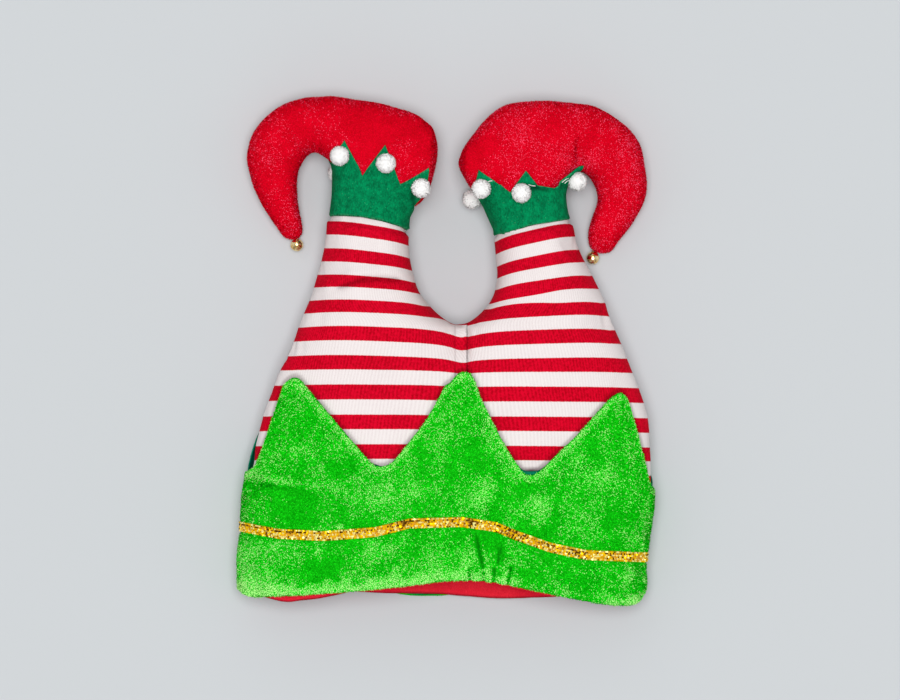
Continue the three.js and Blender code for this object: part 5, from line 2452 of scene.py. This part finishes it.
@dataclass
class JingleBell:
    """A small round bell with crossed slots, a waist ridge and a sewing loop."""

    at: tuple[float, float]
    turn: float
    radius: float = 4.7
    wall: float = 0.45
    slot: float = 0.8
    lift: float = 0.2
    sides: int = 48
    steps: int = 40
    ridge: float = 0.22
    ridge_angle: float = 0.07
    loop_radius: float = 1.4
    loop_rise: float = 0.6
    loop_steps: int = 28
    wire_radius: float = 0.4
    wire_sides: int = 10

    def shell(self) -> tuple[np.ndarray, Faces]:
        """The turned wall of the bell about Y: outside, then inside.

        Returns:
            Closed points and faces.
        """
        angle = np.linspace(0.02, math.pi - 0.02, self.steps)
        width = self.radius - self.ridge
        width += self.ridge * np.exp(-(((angle - math.pi / 2) / self.ridge_angle) ** 2))
        outside = np.stack([np.sin(angle) * width, np.cos(angle) * self.radius], 1)
        inside = outside[::-1] * (1 - self.wall / self.radius)
        profile = np.concatenate([outside, inside])
        sides = self.sides
        around = np.linspace(0, 2 * math.pi, sides, endpoint=False)
        rings = np.stack([
            profile[:, None, 0] * np.cos(around),
            np.repeat(profile[:, None, 1], sides, 1),
            profile[:, None, 0] * np.sin(around),
        ], 2)
        count = len(profile)
        faces = ring_faces(count, sides)
        faces += [tuple((count - 1) * sides + j for j in range(sides)), tuple(range(sides - 1, -1, -1))]
        return rings.reshape(-1, 3), faces

    def build(self, node: str) -> None:
        """Makes the bell, cuts its slots and adds the loop.

        Args:
            node: The CAD node that it stands for.
        """
        centre = np.array((*self.at, self.radius + self.lift))
        points, faces = self.shell()
        made = mesh_object("plated_" + node, points, faces)
        for cutter in self.cutters():
            cut = made.modifiers.new("Slot", "BOOLEAN")
            cut.operation, cut.object, cut.solver = "DIFFERENCE", cutter, "EXACT"
            settle(made)
            bpy.data.objects.remove(cutter)
        loop = self.loop()
        work = bmesh.new()
        work.from_mesh(made.data)
        work.from_mesh(loop.data)
        bmesh.ops.recalc_face_normals(work, faces=work.faces)
        work.to_mesh(made.data)
        work.free()
        bpy.data.objects.remove(loop)
        local = plan_points(made)
        cos, sin = math.cos(self.turn), math.sin(self.turn)
        turned = np.stack([
            local[:, 0], local[:, 1] * cos - local[:, 2] * sin, local[:, 1] * sin + local[:, 2] * cos,
        ], 1)
        set_plan_points(made, turned + centre)
        Finishes.BELL.dress(smooth_shaded(made, 35))
        placed(made, "bell_metal", node)

    def cutters(self) -> list[bpy.types.Object]:
        """Two blocks that cut the crossed slots in the bell's mouth.

        Returns:
            The two cutting blocks.
        """
        made = []
        for width, height in ((self.slot, self.radius * 1.5), (self.radius * 1.5, self.slot)):
            work = bmesh.new()
            bmesh.ops.create_cube(work, size=1.0)
            for v in work.verts:
                v.co = Vector((v.co.x * width, v.co.y * self.radius - self.radius * 0.75, v.co.z * height))
            points = np.array([v.co for v in work.verts])
            faces = [tuple(v.index for v in f.verts) for f in work.faces]
            work.free()
            made.append(mesh_object("slot_cutter", points, faces))
        return made

    def loop(self) -> bpy.types.Object:
        """The wire loop that the bell is sewn on by.

        Returns:
            The loop's object.
        """
        steps, sides = self.loop_steps, self.wire_sides
        around = np.linspace(0, 2 * math.pi, steps, endpoint=False)[:, None]
        wire = np.linspace(0, 2 * math.pi, sides, endpoint=False)[None, :]
        reach = self.loop_radius + self.wire_radius * np.cos(wire)
        rings = np.stack([
            np.repeat(self.wire_radius * np.sin(wire), steps, 0),
            reach * np.cos(around) + self.radius + self.loop_rise,
            reach * np.sin(around),
        ], 2)
        faces: Faces = []
        for i in range(steps):
            for j in range(sides):
                k, n = (i + 1) % steps, (j + 1) % sides
                faces.append((i * sides + j, i * sides + n, k * sides + n, k * sides + j))
        return mesh_object("bell_loop", rings.reshape(-1, 3), faces)


# The studio


@dataclass
class Studio:
    """Pale floor, even soft light and the camera straight over the hat."""

    frame_width: float = 641.3
    centre: tuple[float, float] = (2.56, 0.3)
    distance: float = 10.0
    outline_height: float = 25.0
    floor_colour: Colour = (194.8, 198.6, 201.3)
    ambient: float = 0.25
    overhead: float = 0.8
    overhead_spread: float = 34.0
    key: float = 0.05
    key_spread: float = 40.0
    fill: float = 0.085
    fill_spread: float = 60.0
    fill_rise: float = 0.33
    sensor: float = 36.0
    floor_half: float = 3000.0
    floor_drop: float = 0.05

    def build(self) -> None:
        """Adds the floor, the lights and the camera."""
        scene = bpy.context.scene
        scene.view_settings.view_transform = "Standard"
        self.make_floor()
        world = bpy.data.worlds.new("studio")
        scene.world = world
        world.use_nodes = True
        back = world.node_tree.nodes["Background"]
        back.inputs["Color"].default_value = (1.0, 1.0, 1.0, 1.0)
        back.inputs["Strength"].default_value = self.ambient
        self.add_light("overhead", (0.0, 0.0, 1.0), self.overhead_spread, self.overhead)
        self.add_light("key", (-0.5, 0.6, 0.8), self.key_spread, self.key)
        for name, x, y in (("left", -1, 0), ("right", 1, 0), ("near", 0, -1), ("far", 0, 1)):
            self.add_light(name + "_fill", (x, y, self.fill_rise), self.fill_spread, self.fill)
        self.make_camera()

    def make_floor(self) -> None:
        """A wide pale floor under the hat."""
        half = self.floor_half
        corners = np.array([(-half, -half, 0), (half, -half, 0), (half, half, 0), (-half, half, 0)])
        floor = mesh_object("floor", corners - (0, 0, self.floor_drop), [(0, 1, 2, 3)])
        PlainFinish("floor", self.floor_colour, 0.9).dress(floor)

    def add_light(
        self, name: str, from_way: tuple[float, float, float], spread: float, level: float,
    ) -> None:
        """A wide even light from one direction; a level of 1 lights a white floor to white.

        Args:
            name: The light's name.
            from_way: The direction that it comes from.
            spread: The angle that it fills, in degrees.
            level: Its strength.
        """
        data = bpy.data.lights.new(name, "SUN")
        data.angle, data.energy = math.radians(spread), level * math.pi
        light = bpy.data.objects.new(name, data)
        light.rotation_euler = (-Vector(from_way)).to_track_quat("-Z", "Y").to_euler()
        bpy.context.scene.collection.objects.link(light)

    def make_camera(self) -> None:
        """A long lens over the hat, with the photograph's frame."""
        data = bpy.data.cameras.new("camera")
        data.sensor_width = self.sensor
        data.lens = self.sensor * (self.distance - self.outline_height * MM) / (self.frame_width * MM)
        camera = bpy.data.objects.new("camera", data)
        camera.location = (self.centre[0] * MM, self.centre[1] * MM, self.distance)
        bpy.context.scene.collection.objects.link(camera)
        bpy.context.scene.camera = camera


def main() -> None:
    """Builds the hat piece by piece, then the studio."""
    logging.basicConfig(level=logging.INFO, format="%(name)s: %(message)s")
    trousers = Trousers()
    trousers.build()
    Cuff(trousers).build()
    trousers.dress()
    Foot(
        Side.LEFT, StuffedTube(LEFT_LEG), StuffedTube(LEFT_SHOE), LEFT_ANKLE, LEFT_COLLAR,
        dents=((-88, 160, -92, 148, 0.9, 5),), bell_at=(-105.8, 76.4), bell_turn=0.9, paler=-0.03,
        nap_sheen=((-60, 160, 22, 12, -0.14), (-24, 160, 16, 14, -0.1)),
        shadows=((-23.4, 112, 2.0, 6.5, 0.75), (-81, 104, 2.5, 14, 0.3)),
    ).build()
    Foot(
        Side.RIGHT, StuffedTube(RIGHT_LEG), StuffedTube(RIGHT_SHOE), RIGHT_ANKLE, RIGHT_COLLAR,
        dents=((95.8, 150, 96.5, 134, 3.6, 2.4), (71, 146, 74, 138, 1.2, 6)),
        bell_at=(105.6, 67.2), bell_turn=0.3,
        paler=0.05, nap_sheen=((20, 139, 9, 10, -0.28), (32, 148, 8, 7, -0.2), (82, 160, 9, 8, -0.15)),
        folded=((51, 119.8), (58, 119.6), (66, 118.4)),
        shadows=(
            (63, 117.2, 4.5, 1.7, 0.85), (69, 115.6, 5, 1.6, 0.5), (83, 118.6, 4, 1.8, 0.5),
            (33, 100, 4, 12, 0.2),
        ),
        threads=(
            ((29.5, 120.4), (31.8, 121.5), (33.6, 121.7)), ((59.4, 119), (61.6, 118.2), (64.4, 118.0)),
            ((88, 123.6), (86, 122.9), (83.2, 120.6)), ((88.4, 122.4), (86.6, 121.4), (85.2, 119.9)),
        ),
    ).build()
    Studio().build()


if __name__ == "__main__":
    main()
